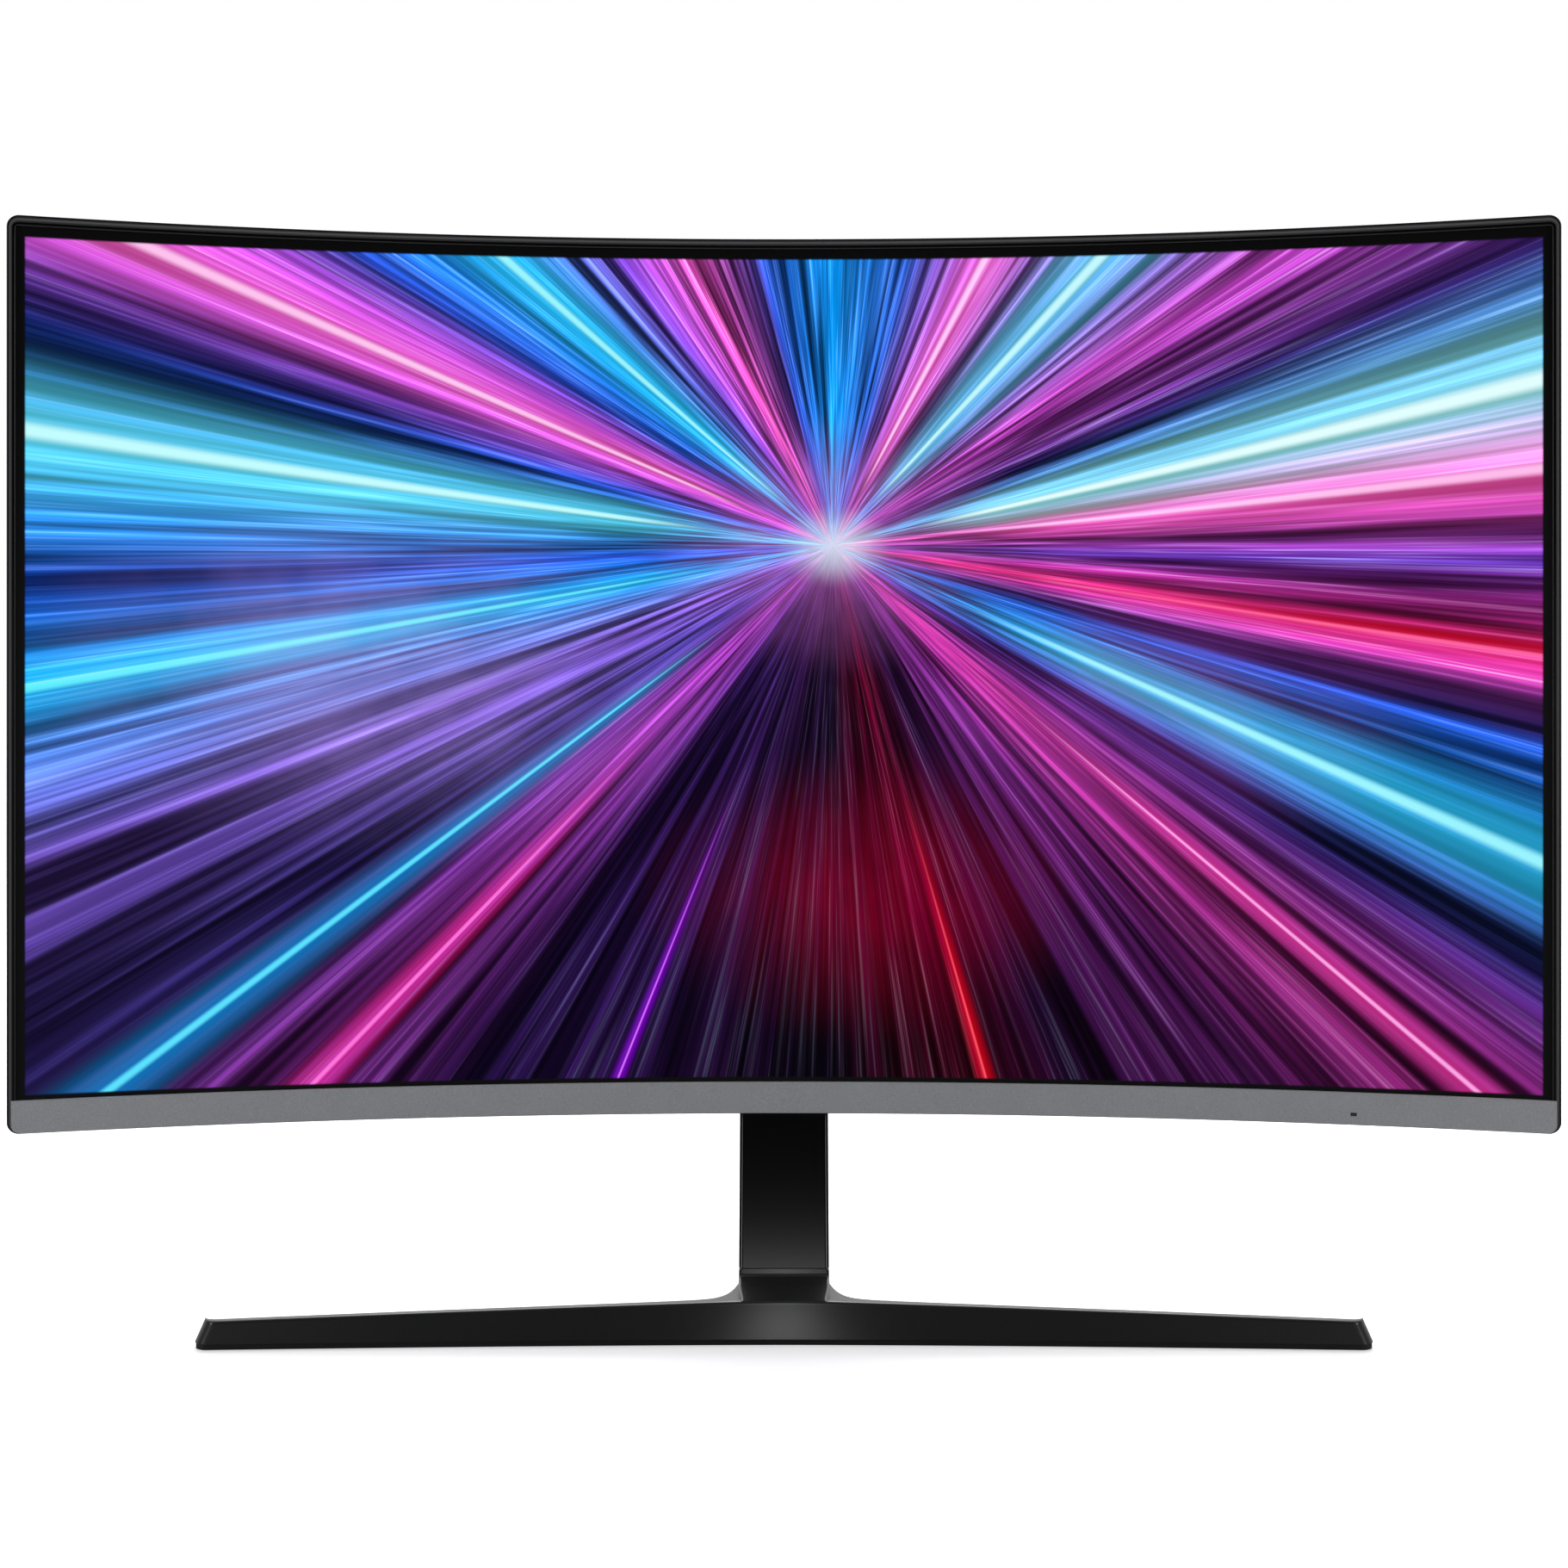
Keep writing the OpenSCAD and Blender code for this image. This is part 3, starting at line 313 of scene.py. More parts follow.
def rounded_path(half, low, high, radius, side_steps, top_steps, corner_steps=8):
    """A closed rounded rectangle as (s, z, inward s, inward z), going round from the bottom left."""
    path = []

    def run(a, b, inward, steps):
        for i in range(steps):
            t = i / steps
            path.append((lerp(a[0], b[0], t), lerp(a[1], b[1], t), *inward))

    def corner(cs, cz, start_deg):
        for i in range(corner_steps):
            a = math.radians(start_deg - 90 * i / corner_steps)
            across, up = math.cos(a), math.sin(a)
            path.append((cs + radius * across, cz + radius * up, -across, -up))

    run((-half, low + radius), (-half, high - radius), (1, 0), side_steps)
    corner(-half + radius, high - radius, 180)
    run((-half + radius, high), (half - radius, high), (0, -1), top_steps)
    corner(half - radius, high - radius, 90)
    run((half, high - radius), (half, low + radius), (-1, 0), side_steps)
    corner(half - radius, low + radius, 0)
    run((half - radius, low), (-half + radius, low), (0, 1), top_steps)
    corner(-half + radius, low + radius, -90)
    return path


def build_bezel(material):
    """One closed sweep round the head: full rim at the sides and top, a thin wall under the chin."""
    corner_radius = 5.5 * MM
    outline = rounded_path(RIM_HALF, HEAD_BOTTOM, HEAD_TOP, corner_radius, side_steps=30, top_steps=120)
    bm = bmesh.new()
    rows = []
    for s, z, inward_s, inward_z in outline:
        top = max(0.0, -inward_z)
        under = max(0.0, inward_z)
        width = lerp(lerp(RIM_SIDE, RIM_TOP, top), RIM_UNDER, smoothstep(0.25, 1.0, under))
        row = []
        for inset, depth in rim_profile(width):
            point = on_arc(s + inward_s * inset, depth, z + inward_z * inset)
            point.x = min(CHORD_HALF, max(-CHORD_HALF, point.x))
            row.append(point)
        rows.append(row)
    skin(bm, rows, closed_rows=True)
    # Marks the ridge and inner lip for their painted highlight.
    layer = bm.verts.layers.float.new(PAINTED_HIGHLIGHT_LAYER)
    for i, vert in enumerate(bm.verts):
        vert[layer] = RIM_PAINTED_HIGHLIGHTS.get(i % len(rows[0]), 0.0)
    return dress(make_object("front_bezel_shell", bm, 50), "head", "gloss_black", material, "front_bezel")


def build_chin(material):
    """The grey strip under the picture, with its top edge chamfered and its lower corners rounded."""
    end_gap = 2.0 * MM
    under_gap = 0.3 * MM
    half = RIM_HALF - end_gap
    low = HEAD_BOTTOM + under_gap
    high = CHIN_TOP
    corner = 4.0 * MM
    front = -1.6 * MM
    back = -0.15 * MM
    edge = 0.45 * MM
    bm = bmesh.new()
    rounded = [half - corner + corner * math.sin(math.radians(a)) for a in range(0, 91, 9)]
    straight = [half * i / 90 for i in range(-85, 86)]
    straight = [s for s in straight if abs(s) < half - corner]
    stations = sorted([-s for s in rounded] + straight + rounded)
    rows = []
    for s in stations:
        over = max(0.0, abs(s) - (half - corner))
        bottom = low + corner - math.sqrt(max(0.0, corner ** 2 - over ** 2))
        profile = [(back, bottom)]
        for degrees in range(0, 91, 18):
            a = math.radians(degrees)
            profile.append((front + edge - edge * math.sin(a), bottom + edge - edge * math.cos(a)))
        profile += [(front, bottom + edge * 1.5), (front, high - edge * 2.0), (front, high - edge * 1.4)]
        profile += [(front + edge * 0.5, high - edge * 0.4), (front + edge * 1.2, high), (back, high)]
        rows.append([on_arc(s, t, z) for t, z in profile])
    skin(bm, rows)
    return dress(make_object("chin_strip", bm, 60), "head", "chin_grey", material, "chin_trim")


def build_screen(material):
    """The glass, as one curved slab with fine columns so that its face stays round."""
    side_gap = 2.4 * MM
    half = RIM_HALF - side_gap
    low = glass_low.z
    high = glass_high.z
    thick = 1.8 * MM
    columns = 180
    bm = bmesh.new()
    rows = []
    for i in range(columns + 1):
        s = lerp(-half, half, i / columns)
        rows.append([on_arc(s, t, z) for t, z in ((thick, low), (0, low), (0, high), (thick, high))])
    skin(bm, rows)
    return dress(make_object("screen_glass", bm, 40), "head", "screen", material, "lcd_cell")


# ---------- stand ----------

# All in mm; y is behind the screen's front.
FOOT_HALF = foot_high.x / MM
PLATE_Z = foot_low.z / MM                # underside of the foot's shell
NECK_LEAN = math.radians(13.5)
NECK_FOOT = Vector((0.0, 14.0, 23.0))    # front foot of the visible neck
NECK_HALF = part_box("neck_front_cover")[1].x / MM
THUMB_Y = 18.0                           # axis of the thumb screw

FOOT_FRONT = -28.0       # y of the front face at the middle
FOOT_SWEEP = 7.0         # how much nearer the viewer the ends are
END_RADIUS = 7.0         # rounding of the ends, seen from above
ARM_TOP = 19.73
ARM_FALL = 0.0285        # fall of the arms' tops towards the ends, in mm per mm
CREST_BACK = 5.5         # how far the front face leans back
CREST_ROUND = 0.9
ARM_DEPTH = 4.5          # depth of the arms' flat tops at the ends
FLARES = ((2.5, 30.0), (23.0, 4.3))      # extra depth beside the neck, as (depth, reach)
REAR_SLOPE = 0.42        # rise over run of the arms' rear face
CHAMFER = 0.3            # along the shell's lower edge
SIDE_LEAN = 0.0012       # how much the arms' ends lean in, in mm per mm of height and length

STRIP_TOP = 19.5
STRIP_FRONT = -22.6
STRIP_REAR = 150.0
STRIP_HALF = 20.3        # half width in front
REAR_RADIUS = 12.0
COVE_R = 1.6             # radius of the cove in front of the neck
COVE_TURN = math.radians(72)
COVE_START = 11.9
COVE_END = COVE_START + COVE_R * math.sin(COVE_TURN)
COVE_RISE = COVE_R * (1 - math.cos(COVE_TURN))
LEDGE_TOP = 22.8         # top of the strip under the neck
LEDGE_START = 14.0
LEDGE_FLAT = 14.05       # from here on the ledge is level
RECESS = [(14.0, 2.0), (14.0, 4.2), (7.4, 4.2), (7.4, 6.4), (3.4, 6.4), (3.4, 21.0)]   # as (radius, height)


def foot_profile(s):
    """One (y, z) cross-section of the foot's arms in mm, at s from the middle."""
    a = abs(s)
    end = max(0.0, a - (FOOT_HALF - END_RADIUS))
    inset = END_RADIUS - math.sqrt(max(0.0, END_RADIUS ** 2 - end * end))
    front = FOOT_FRONT - FOOT_SWEEP * (a / FOOT_HALF) ** 1.6 + inset
    top = ARM_TOP - ARM_FALL * math.hypot(a, 15.0)
    beside = max(0.0, a - NECK_HALF)
    depth = ARM_DEPTH + sum(extra * math.exp(-beside / reach) for extra, reach in FLARES)
    crest = front + CREST_BACK
    lean_end = crest - CREST_ROUND / 2
    rear = crest + depth - 0.55 * inset
    toe = rear + (top - PLATE_Z) / REAR_SLOPE - 1.6 * inset
    points = [(front + 0.25, PLATE_Z), (front, PLATE_Z + CHAMFER)]
    for t in (0.06, 0.5, 0.94, 1):
        points.append((lerp(front, lean_end, t), lerp(PLATE_Z + CHAMFER, top - CREST_ROUND, t)))
    for degrees in (30, 60, 90):
        b = math.radians(degrees)
        back = CREST_ROUND * (1 - math.cos(b))
        up = CREST_ROUND * math.sin(b)
        points.append((lean_end + back, top - CREST_ROUND + up))
    points += [(lerp(crest + 0.9, rear - 1.8, t), top) for t in (0.1, 0.5, 0.9, 1)]
    points += [(rear - 0.9, top - 0.12), (rear, top - 0.5)]
    for t in (0.2, 0.4, 0.6, 0.8, 1):
        hollow = 0.8 * math.sin(math.pi * t) * t
        points.append((lerp(rear, toe, t), lerp(top - 0.5, PLATE_Z + 0.7, t) - hollow))
    points.append((toe + CHAMFER, PLATE_Z))
    return points


def strip_height(y):
    """Height of the middle strip: flat, a cove, a short wall in line with the neck, then a long fall."""
    if y < COVE_START:
        return STRIP_TOP
    if y < COVE_END:
        return STRIP_TOP + COVE_R - math.sqrt(COVE_R ** 2 - (y - COVE_START) ** 2)
    if y < LEDGE_FLAT:
        up = min(1.0, (y - COVE_END) / (LEDGE_START - COVE_END))
        return lerp(STRIP_TOP + COVE_RISE, LEDGE_TOP, up)
    step = 5.6 * smoothstep(29, 48, y)
    slope = 8.6 * smoothstep(40, 150, y)
    nose = 2.4 * max(0.0, (y - 143) / 7) ** 2
    return LEDGE_TOP - step - slope - nose


def strip_half(y):
    """Half the strip's width: it swells where the arms' flat tops end, and is round at the rear."""
    end = max(0.0, y - (STRIP_REAR - REAR_RADIUS))
    rounding = REAR_RADIUS - math.sqrt(max(0.0, REAR_RADIUS ** 2 - end * end))
    swell = 1.7 * smoothstep(STRIP_FRONT, 0, y) - 1.8 * smoothstep(26, 48, y)
    return STRIP_HALF - rounding + swell


def build_arms():
    """Both arms as one sweep from end to end."""
    rounded = [FOOT_HALF - END_RADIUS + END_RADIUS * math.sin(math.radians(a)) for a in range(0, 88, 8)]
    half_stations = [i * 1.5 for i in range(1, 37)] + [54 + i * 9.0 for i in range(1, 24)] + rounded
    stations = sorted([-s for s in half_stations] + [0.0] + half_stations)
    bm = bmesh.new()
    rows = []
    for s in stations:
        rows.append([Vector((s * (1 - SIDE_LEAN * (z - PLATE_Z)), y, z)) * MM for y, z in foot_profile(s)])
    skin(bm, rows)
    return make_object("foot_body", bm, 32)


def build_strip():
    """The strip that runs from the front face under the neck to the rear."""
    level = [STRIP_FRONT + i * 2.0 for i in range(17)]
    cove = [COVE_START + COVE_R * math.sin(math.radians(a)) for a in range(0, 72, 9)]
    wall = [COVE_END, lerp(COVE_END, LEDGE_START, 0.1), lerp(COVE_END, LEDGE_START, 0.9), LEDGE_START]
    fall = [LEDGE_FLAT, 14.6] + [16 + i * 4.0 for i in range(31)]
    rear = [STRIP_REAR - REAR_RADIUS + REAR_RADIUS * math.sin(math.radians(a)) for a in range(0, 90, 9)]
    edge = 1.2
    bm = bmesh.new()
    rows = []
    for y in level + cove + wall + fall + rear:
        half, top = strip_half(y), strip_height(y)
        side = [(-half, PLATE_Z + 0.05), (-half, top - edge)]
        for degrees in (25, 50, 75, 90):
            a = math.radians(degrees)
            side.append((-half + edge - edge * math.cos(a), top - edge + edge * math.sin(a)))
        side += [(-half + edge + 0.4, top), (-half / 2, top)]
        ring = side + [(0, top)] + [(-x, z) for x, z in reversed(side)]
        rows.append([Vector((x, y, z)) * MM for x, z in ring])
    skin(bm, rows)
    return make_object("tongue", bm, 32)


def build_foot(material):
    """Arms and middle strip, joined into one body, with the thumb screw's recess cut from below."""
    arms = build_arms()
    combine(arms, build_strip(), "UNION")
    recess = turned("recess", RECESS, 64)
    for vertex in recess.data.vertices:
        vertex.co.y += THUMB_Y * MM
    combine(arms, recess, "DIFFERENCE")
    return dress(arms, "stand", "foot_paint", material, "foot_shell")


def turned(name, outline, steps):
    """A solid of revolution about Z from (radius, height) points in mm, closed at both ends."""
    turns = [2 * math.pi * i / steps for i in range(steps)]
    bm = bmesh.new()
    rows = []
    for radius, height in outline:
        rows.append([Vector((radius * math.cos(a), radius * math.sin(a), height)) * MM for a in turns])
    skin(bm, rows)
    return make_object(name, bm)


def combine(piece, other, operation):
    """Adds or cuts another closed mesh, which is used up."""
    modifier = piece.modifiers.new("combine", "BOOLEAN")
    modifier.operation = operation
    modifier.object = other
    modifier.solver = "EXACT"
    bpy.context.view_layer.update()
    result = bpy.data.meshes.new_from_object(piece.evaluated_get(bpy.context.evaluated_depsgraph_get()))
    piece.modifiers.remove(modifier)
    piece.data = result
    bpy.data.objects.remove(other)
    result.shade_smooth()
    result.set_sharp_from_angle(angle=math.radians(32))


def neck_point(x, depth, along):
    """A point in the neck's own frame, in mm: depth behind its front face, along up the lean."""
    sin, cos = math.sin(NECK_LEAN), math.cos(NECK_LEAN)
    y = NECK_FOOT.y + depth * cos + along * sin
    z = NECK_FOOT.z - depth * sin + along * cos
    return Vector((x, y, z)) * MM


def neck_start(depth, height):
    """How far up the lean a point of that depth reaches that height."""
    return (height - NECK_FOOT.z + depth * math.sin(NECK_LEAN)) / math.cos(NECK_LEAN)


def build_neck_front(material):
    """The front half of the neck: a flat face with a narrow slanting edge down each side."""
    wall = 2.0
    back = 6.95
    outer = [(-NECK_HALF, back), (-NECK_HALF, 1.35), (-NECK_HALF + 0.12, 1.1), (-NECK_HALF + 1.35, 0.1),
             (-NECK_HALF + 1.6, 0.0), (-NECK_HALF + 2.0, 0.0)]
    inner = [(-NECK_HALF + wall, back), (-NECK_HALF + wall, wall)]
    ring = outer + [(-x, d) for x, d in reversed(outer)]
    ring += [(-x, d) for x, d in inner] + list(reversed(inner))
    # Heights of the rings, each with how far it is pulled in to round the ends.
    ends = [(22.95, 0.25), (23.2, 0), (60, 0), (100, 0), (140, 0), (180, 0), (197.0, 0), (197.3, 0.25)]
    bm = bmesh.new()
    rows = []
    for height, pull in ends:
        row = []
        for x, depth in ring:
            pulled = x * (1 - pull / NECK_HALF)
            row.append(neck_point(pulled, max(depth, pull), neck_start(depth, height)))
        rows.append(row)
    skin(bm, rows)
    return dress(make_object("neck_front", bm, 25), "stand", "neck_black", material, "neck_front_cover")


# ---------- carried-over pieces ----------

EDGE = 0.25 * MM
FINE_EDGE = 0.04 * MM
WELD_REACH = 1e-6


def finish_cad(materials):
    """Gives every shown CAD node its slot's material and small rounded edges, finer ones to thin parts."""
    slots = {part["node"]: part["material_slot"] for part in frame["record"]["subparts"]}
    fine = {"led_packages", "optical_films", "light_guide", "reflector_sheet", "driver_flex_tapes",
            "jog_gimbal", "jog_stem", "power_led_lens", "panel_cable", "key_cable", "friction_washers",
            "led_strip"}
    for name, node in NODES.items():
        if node.hide_render:
            continue
        mesh = node.data
        mesh.materials.clear()
        mesh.materials.append(materials[slots[name]])
        if "custom_normal" in mesh.attributes:
            mesh.attributes.remove(mesh.attributes["custom_normal"])
        mesh.shade_smooth()
        weld = node.modifiers.new("weld", "WELD")
        weld.merge_threshold = WELD_REACH
        edges = node.modifiers.new("edges", "BEVEL")
        edges.width = FINE_EDGE if name in fine else EDGE
        edges.segments = 1 if name in fine else 2
        edges.limit_method = "ANGLE"
        edges.angle_limit = math.radians(35)
        node.modifiers.new("normals", "WEIGHTED_NORMAL").keep_sharp = False


# ---------- materials ----------

def base_materials():
    """One material for each of the record's slots."""
    made = {}

    def add(slot, *args, **options):
        made[slot] = surface(slot, *args, **options)

    add("gloss_black", (0.0015, 0.0015, 0.0018), 0.12, grain=900, mottling=0.2, specular=0.15)
    # A painted highlight on the rim's ridge and inner lip.
    add_painted_highlight(made["gloss_black"])
    add("lens", (0.02, 0.03, 0.05), 0.1, grain=900, coat=0.3)
    add("frame_plastic", (0.03, 0.03, 0.03), 0.55, grain=900)
    add("film", (0.8, 0.82, 0.82), 0.3, grain=300, mottling=0.03)
    add("light_guide", (0.75, 0.86, 0.86), 0.12, grain=300, mottling=0.03)
    add("reflector", (0.9, 0.9, 0.9), 0.4, grain=500, mottling=0.03)
    add("aluminium", (0.6, 0.61, 0.62), 0.35, metallic=1.0, grain=500, brushed=0)
    add("steel", (0.5, 0.51, 0.52), 0.4, metallic=1.0, grain=300, brushed=0, mottling=0.15)
    add("screw_steel", (0.42, 0.42, 0.44), 0.32, metallic=1.0, grain=1500, mottling=0.15)
    add("board", (0.015, 0.12, 0.05), 0.4, grain=500, mottling=0.35)
    add("components", (0.02, 0.02, 0.023), 0.45, grain=900, mottling=0.3)
    add("flex", (0.3, 0.14, 0.03), 0.35, grain=600, mottling=0.2)
    add("wire", (0.7, 0.69, 0.64), 0.45, grain=700, mottling=0.1)
    add("connector_metal", (0.62, 0.62, 0.63), 0.25, metallic=1.0, grain=1200)
    add("connector_blue", (0.02, 0.06, 0.3), 0.45, grain=900)
    add("hinge_steel", (0.02, 0.02, 0.022), 0.38, metallic=0.6, grain=900, mottling=0.3)
    add("pin_steel", (0.55, 0.55, 0.56), 0.22, metallic=1.0, grain=900, brushed=1)
    add("bronze", (0.42, 0.28, 0.1), 0.35, metallic=1.0, grain=900, mottling=0.2)
    add("neck_black", (0.0006, 0.0006, 0.0007), 0.12, grain=900, mottling=0.2, specular=0.5)
    add("bottom_plastic", (0.012, 0.012, 0.013), 0.5, grain=1500, grain_depth=0.00003)
    add("rubber", (0.012, 0.012, 0.012), 0.75, grain=900, mottling=0.3, grain_depth=0.00005)
    made["rear_plastic"] = ribbed_plastic()
    made["chin_grey"] = metallic_paint("chin_grey", (0.57, 0.58, 0.61), 0.36, 0.35)
    made["foot_paint"] = metallic_paint("foot_paint", (0.018, 0.0184, 0.0196), 0.24, 0.0, relief=0.000004)
    made["screen"] = picture_material()
    return made


def add_painted_highlight(material):
    """Paints a highlight into a surface's colour where its mesh is marked, such as the rim's ridge and lip.
    """
    tree = material.node_tree
    shader = tree.nodes["Principled BSDF"]
    highlight_mark = tree.nodes.new("ShaderNodeAttribute")
    highlight_mark.attribute_name = PAINTED_HIGHLIGHT_LAYER
    base = shader.inputs["Base Color"].links[0].from_socket
    colour = mix(tree, Value(tree, highlight_mark.outputs["Fac"]), base, PAINTED_HIGHLIGHT_COLOUR)
    plug(tree, colour, shader.inputs["Base Color"])


def metallic_paint(name, colour, roughness, metallic, relief=0.00002):
    """Satin paint with fine metal flakes: a sparkle in tone and a very fine relief."""
    material, tree, shader = new_material(name)
    place = object_coordinates(tree)
    flakes = noise(tree, place, 2200, 2.0, 0.7)
    clouds = noise(tree, place, 60, 3.0)
    tone = flakes.step(0.25, 0.75) * 0.34 + clouds * 0.1 + 0.78
    rgb = vector(tree, *[tone * c for c in colour])
    plug(tree, rgb, shader.inputs["Base Color"])
    shader.inputs["Metallic"].default_value = metallic
    plug(tree, flakes * 0.12 + (roughness - 0.06), shader.inputs["Roughness"])
    plug(tree, bump(tree, flakes, relief, 0.6), shader.inputs["Normal"])
    return material


def ribbed_plastic():
    """Dark moulded plastic with fine ribs that run across the back."""
    material, tree, shader = new_material("rear_plastic")
    place = object_coordinates(tree)
    x, y, z = split(tree, place)
    pitch = 1.6 * MM
    ribs = (z * (2 * math.pi / pitch)).math("SINE")
    tone = noise(tree, place, 900, 3.0)
    colour = mix(tree, tone.step(0.3, 0.7), (0.018, 0.019, 0.022), (0.028, 0.029, 0.033))
    plug(tree, colour, shader.inputs["Base Color"])
    plug(tree, tone * 0.2 + 0.38, shader.inputs["Roughness"])
    plug(tree, bump(tree, ribs * 0.5 + tone * 0.3, 0.00012, 0.5), shader.inputs["Normal"])
    return material


def picture_material():
    """The lit picture, a matte black border round it and a matte surface over both."""
    material, tree, shader = new_material("screen")
    x, y, z = split(tree, object_coordinates(tree))
    along = x.math("ARCTAN2", y + SCREEN_R) * SCREEN_R
    half_h = PICTURE_H / 2
    u = along / half_h
    v = (z - PICTURE_MID) / half_h
    soft = 0.6 * MM          # softness of the picture's edge
    inside = along.size().step(PICTURE_HALF + soft, PICTURE_HALF - soft)
    inside = inside * v.size().step(1 + soft / half_h, 1 - soft / half_h)
    base = mix(tree, inside, (0.006, 0.006, 0.0065), (0.001, 0.001, 0.001))
    plug(tree, base, shader.inputs["Base Color"])
    shader.inputs["Roughness"].default_value = 0.34
    plug(tree, inside * -0.13 + 0.15, shader.inputs["Specular IOR Level"])
    shown = mix(tree, inside, (0.0, 0.0, 0.0), paint_streaks(tree, u, v))
    plug(tree, shown, shader.inputs["Emission Color"])
    shader.inputs["Emission Strength"].default_value = 1.0
    return material


# Point that the light streaks fly out of, in half picture heights right of and above the picture's middle.
BURST = (0.12, 0.3)
# Colours of the streaks as (bearing, colour). Bearings are degrees round that point: 0 is straight down,
# 90 right and -90 left.
LEFT_SKY = [
    (-180, (0.0, 0.3, 0.9)), (-166, (0.02, 0.08, 0.6)), (-154, (0.8, 0.08, 0.5)),
    (-143, (0.2, 0.06, 0.7)), (-132, (0.0, 0.35, 1.0)), (-121, (0.02, 0.06, 0.55)),
    (-113, (0.7, 0.05, 0.55)), (-105, (0.03, 0.08, 0.7)), (-96, (0.05, 0.5, 1.0)),
    (-87, (0.01, 0.08, 0.7)), (-79, (0.0, 0.35, 1.0)), (-68, (0.25, 0.12, 0.75)),
    (-56, (0.08, 0.05, 0.4)), (-46, (0.35, 0.04, 0.45)), (-34, (0.05, 0.012, 0.16)),
    (-12, (0.02, 0.004, 0.04)), (0, (0.008, 0.002, 0.016))]
RIGHT_SKY = [
    (0, (0.008, 0.002, 0.016)), (14, (0.1, 0.0, 0.02)), (24, (0.02, 0.003, 0.04)),
    (38, (0.2, 0.02, 0.25)), (49, (0.5, 0.03, 0.3)), (58, (0.06, 0.03, 0.35)), (66, (0.02, 0.3, 1.0)),
    (74, (0.01, 0.06, 0.5)), (81, (0.7, 0.02, 0.2)), (88, (0.1, 0.03, 0.4)), (95, (0.9, 0.08, 0.5)),
    (103, (0.1, 0.5, 1.0)), (112, (0.03, 0.02, 0.2)), (124, (0.5, 0.05, 0.5)), (137, (0.03, 0.3, 0.95)),
    (151, (0.6, 0.06, 0.5)), (165, (0.03, 0.12, 0.7)), (180, (0.0, 0.3, 0.9))]
# Single bright lines as (bearing, half width, where it begins, colour).
LINES = [
    (-53.0, 0.4, 0.5, (0.1, 0.7, 1.0)), (-44.0, 0.3, 0.9, (1.0, 0.15, 0.6)),
    (-97.5, 0.9, 0.4, (0.5, 0.95, 1.0)), (-79.5, 0.5, 0.4, (0.1, 0.75, 1.0)),
    (-113.0, 0.7, 0.3, (1.0, 0.5, 0.8)), (-131.0, 0.9, 0.2, (0.3, 0.85, 1.0)),
    (65.5, 0.8, 0.5, (0.3, 0.85, 1.0)), (80.5, 0.35, 0.6, (1.0, 0.1, 0.2)),
    (95.5, 0.7, 0.4, (1.0, 0.45, 0.75)), (102.5, 1.1, 0.3, (0.7, 1.0, 1.0)),
    (49.5, 0.25, 0.8, (1.0, 0.35, 0.75)), (137.0, 1.2, 0.2, (0.5, 0.9, 1.0)),
    (16.0, 0.2, 0.9, (1.0, 0.08, 0.12)), (-22.0, 0.15, 0.9, (0.7, 0.15, 1.0)),
    (152.0, 1.0, 0.2, (1.0, 0.5, 0.8))]
# Soft glows as (centre, half sizes, colour, strength).
GLOWS = [
    ((-1.0, 0.0), (0.9, 0.5), (0.45, 0.3, 0.95), 0.4),
    ((0.12, 0.3), (0.55, 0.34), (0.75, 0.2, 0.8), 0.4),
    ((0.12, 0.3), (0.16, 0.11), (0.6, 0.85, 1.0), 0.8),
    ((0.9, -0.1), (0.7, 0.4), (0.4, 0.06, 0.5), 0.25),
    ((0.2, -0.55), (0.6, 0.4), (0.7, 0.0, 0.06), 0.22)]


def bearing_ramp(tree, bearing, stops):
    first, last = stops[0][0], stops[-1][0]
    place = (bearing - first) / (last - first)
    return ramp(tree, place, [((b - first) / (last - first), colour) for b, colour in stops])


def grey(tree, value):
    return vector(tree, value, value, value)


def paint_streaks(tree, u, v):
    """Light streaks that fly out of one point, over a dark road. u runs right and v up, in half heights."""
    du, dv = u - BURST[0], v - BURST[1]
    reach = (du * du + dv * dv).math("SQRT").high(0.03)
    bearing = du.math("ARCTAN2", -dv) * (180 / math.pi)
    far = reach.math("LOGARITHM", math.e)
    way_u, way_v = du / reach, dv / reach
    around = vector(tree, way_u * 22, way_v * 22, far * 0.5)
    broad = noise(tree, around, 1.0, 2.0, 0.6).step(0.36, 0.66)
    around = vector(tree, way_u * 80, way_v * 80, far * 1.1 + 3)
    medium = noise(tree, around, 1.0, 2.0, 0.65).step(0.38, 0.68)
    around = vector(tree, way_u * 260, way_v * 260, far * 2.2 + 9)
    fine = noise(tree, around, 1.0, 2.0, 0.6).step(0.46, 0.74)
    sky = mix(tree, bearing.step(-0.5, 0.5), bearing_ramp(tree, bearing, LEFT_SKY),
              bearing_ramp(tree, bearing, RIGHT_SKY))
    on_road = bearing.size().step(78, 62)
    road_fade = (on_road * (reach.step(0.3, 1.5) * 0.55) - 1.0) * -1.0
    light = (broad * 0.8 + medium * (broad * 1.2 + 0.2) + fine * (broad * 0.5) + 0.07) * road_fade
    shown = mix(tree, 1.0, sky, grey(tree, light), "MULTIPLY")
    sparks = medium * fine * broad * (on_road * -0.75 + 1.0) * reach.step(0.05, 0.5)
    shown = mix(tree, sparks * 0.5, shown, (0.6, 0.85, 1.0), "SCREEN")
    for centre, half, start, colour in LINES:
        begins = reach.step(start * 0.6, start * 1.4)
        away = (bearing - centre).size()
        deep = tuple(c ** 3 * 0.8 for c in colour)
        shown = mix(tree, away.step(half * 7, 0.0) * begins * 0.6, shown, deep, "SCREEN")
        shown = mix(tree, away.step(half, half * 0.15) * begins, shown, colour, "SCREEN")
    return paint_glows(tree, shown, u, v, medium)


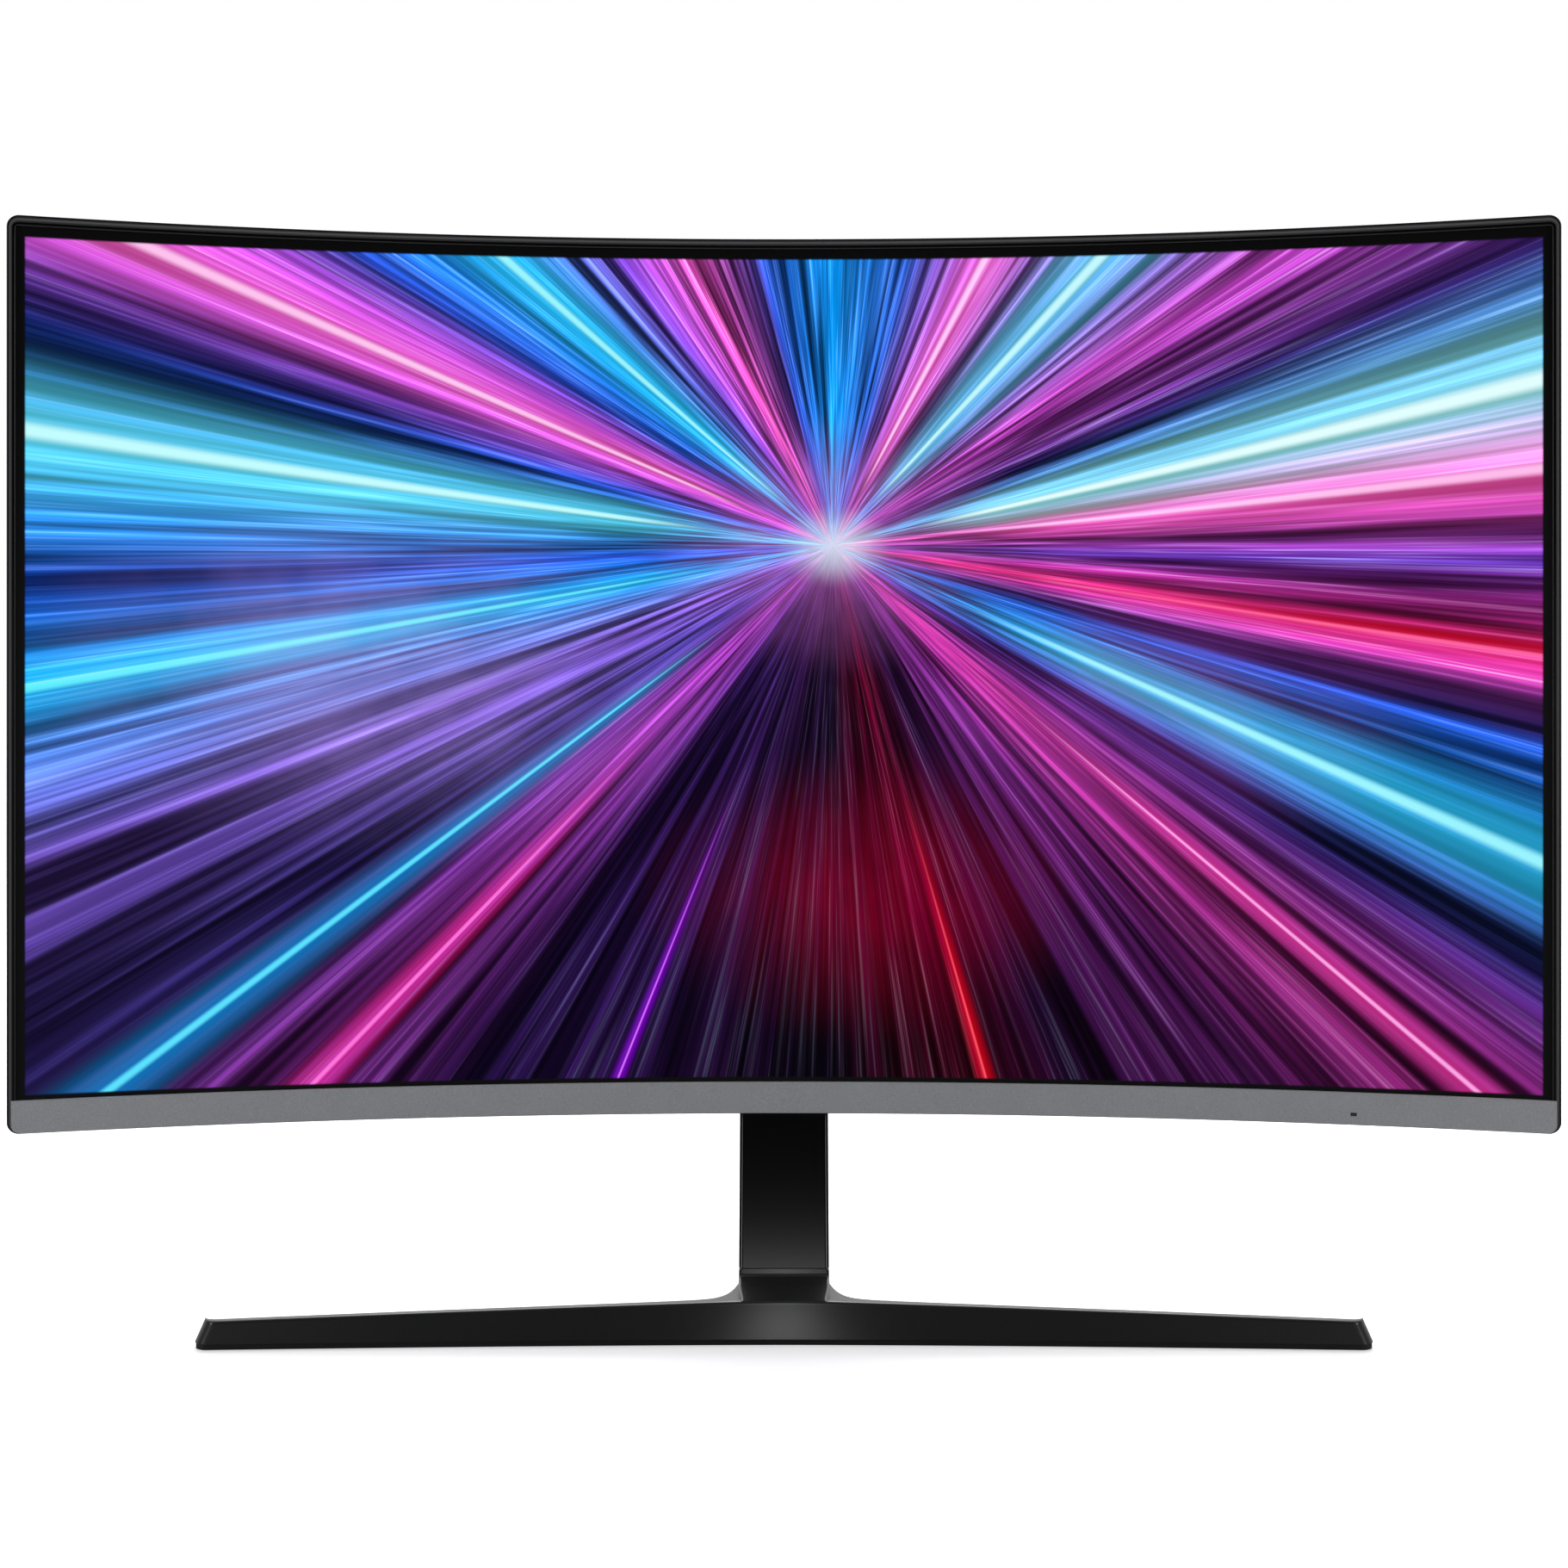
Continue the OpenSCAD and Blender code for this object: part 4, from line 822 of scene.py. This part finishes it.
def paint_glows(tree, shown, u, v, streak):
    """Soft glows with clouds in them; the streaks show through a little."""
    clouds = noise(tree, vector(tree, u, v, 0.3), 2.2, 4.0, 0.6).step(0.3, 0.7)
    for (centre_u, centre_v), (half_u, half_v), colour, strength in GLOWS:
        off_u, off_v = (u - centre_u) / half_u, (v - centre_v) / half_v
        away = (off_u * off_u + off_v * off_v).math("SQRT")
        glow = away.step(1.0, 0.0) * (clouds * 0.6 + 0.25 + streak * 0.35) * strength
        shown = mix(tree, glow, shown, colour, "SCREEN")
    return shown


# ---------- stage ----------

def camera_only(tree):
    """1 for what the camera sees straight, 0 for what surfaces see of each other."""
    return Value(tree, tree.nodes.new("ShaderNodeLightPath").outputs["Is Camera Ray"])


def build_stage():
    """A wide white floor that meets a white world. Surfaces see it dimmed, so they aren't washed out."""
    bm = bmesh.new()
    bmesh.ops.create_circle(bm, cap_ends=True, radius=14.0, segments=96)
    mesh = bpy.data.meshes.new("floor")
    bm.to_mesh(mesh)
    bm.free()
    floor = bpy.data.objects.new("floor", mesh)
    bpy.context.scene.collection.objects.link(floor)
    material, tree, shader = new_material("floor")
    seen = camera_only(tree)
    grain = noise(tree, object_coordinates(tree), 60.0) * 0.01
    white = seen * 0.6 + grain + 0.33
    plug(tree, vector(tree, white, white, white), shader.inputs["Base Color"])
    shader.inputs["Roughness"].default_value = 0.9
    shader.inputs["Specular IOR Level"].default_value = 0.0
    shader.inputs["Emission Color"].default_value = (1, 1, 1, 1)
    plug(tree, seen * 0.5, shader.inputs["Emission Strength"])
    mesh.materials.append(material)


def build_world():
    """White to the camera; to the object, bright behind and above and dark on the viewer's side."""
    world = bpy.data.worlds.new("studio")
    bpy.context.scene.world = world
    world.use_nodes = True
    tree = world.node_tree
    tree.nodes.clear()
    x, y, z = split(tree, tree.nodes.new("ShaderNodeTexCoord").outputs["Generated"])
    level = y.step(-0.35, 0.75) * 0.95 + z.step(0.3, 1.0) * 0.3 + 0.03
    seen = camera_only(tree)
    background = tree.nodes.new("ShaderNodeBackground")
    background.inputs["Color"].default_value = (1, 1, 1, 1)
    plug(tree, level * (-seen + 1.0) + seen, background.inputs["Strength"])
    output = tree.nodes.new("ShaderNodeOutputWorld")
    tree.links.new(background.outputs[0], output.inputs[0])


def add_light(name, place, aim, size, power):
    """A rectangular lamp that the camera doesn't see; size in metres, power in watts."""
    data = bpy.data.lights.new(name, "AREA")
    data.shape = "RECTANGLE"
    data.size, data.size_y = size
    data.energy = power
    light = bpy.data.objects.new(name, data)
    light.location = place
    light.rotation_mode = "QUATERNION"
    light.rotation_quaternion = (Vector(aim) - Vector(place)).to_track_quat("-Z", "Y")
    light.visible_camera = False
    bpy.context.scene.collection.objects.link(light)
    return light


def build_camera():
    """At eye level with the screen's middle, looking straight back, with the lens shifted down."""
    data = bpy.data.cameras.new("camera")
    data.lens = 40.5
    data.sensor_width = 36.0
    data.shift_y = -0.0464
    camera = bpy.data.objects.new("camera", data)
    camera.location = (0.0, -0.847, 0.295)
    camera.rotation_euler = (math.pi / 2, 0, 0)
    bpy.context.scene.collection.objects.link(camera)
    bpy.context.scene.camera = camera


materials = base_materials()
build_bezel(materials["gloss_black"])
build_chin(materials["chin_grey"])
build_screen(materials["screen"])
foot = build_foot(materials["foot_paint"])
build_neck_front(materials["neck_black"])
finish_cad(materials)

build_stage()
build_world()
build_camera()
add_light("top_softbox", (0.0, 0.35, 1.7), (0.0, 0.0, 0.2), (1.6, 0.8), 10)
add_light("left_softbox", (-1.5, -0.9, 0.5), (0.0, 0.0, 0.25), (0.4, 1.2), 6)
add_light("right_softbox", (1.5, -0.9, 0.5), (0.0, 0.0, 0.25), (0.4, 1.2), 6)
add_light("low_front_card", (0.0, -3.0, 0.38), (0.0, 0.0, 0.05), (0.5, 0.3), 1.05)
# A small lamp that lights the foot alone, for the glint in the middle of its front face.
glint = add_light("foot_glint", (0.0, -0.22, 0.07), (0.0, 0.0, 0.012), (0.03, 0.02), 0.013)
foot_only = bpy.data.collections.new("foot_only")
foot_only.objects.link(foot)
glint.light_linking.receiver_collection = foot_only
add_light("rear_softbox", (0.0, 1.4, 1.2), (0.0, 0.0, 0.25), (1.6, 0.8), 14)
bpy.context.scene.view_settings.view_transform = "Standard"
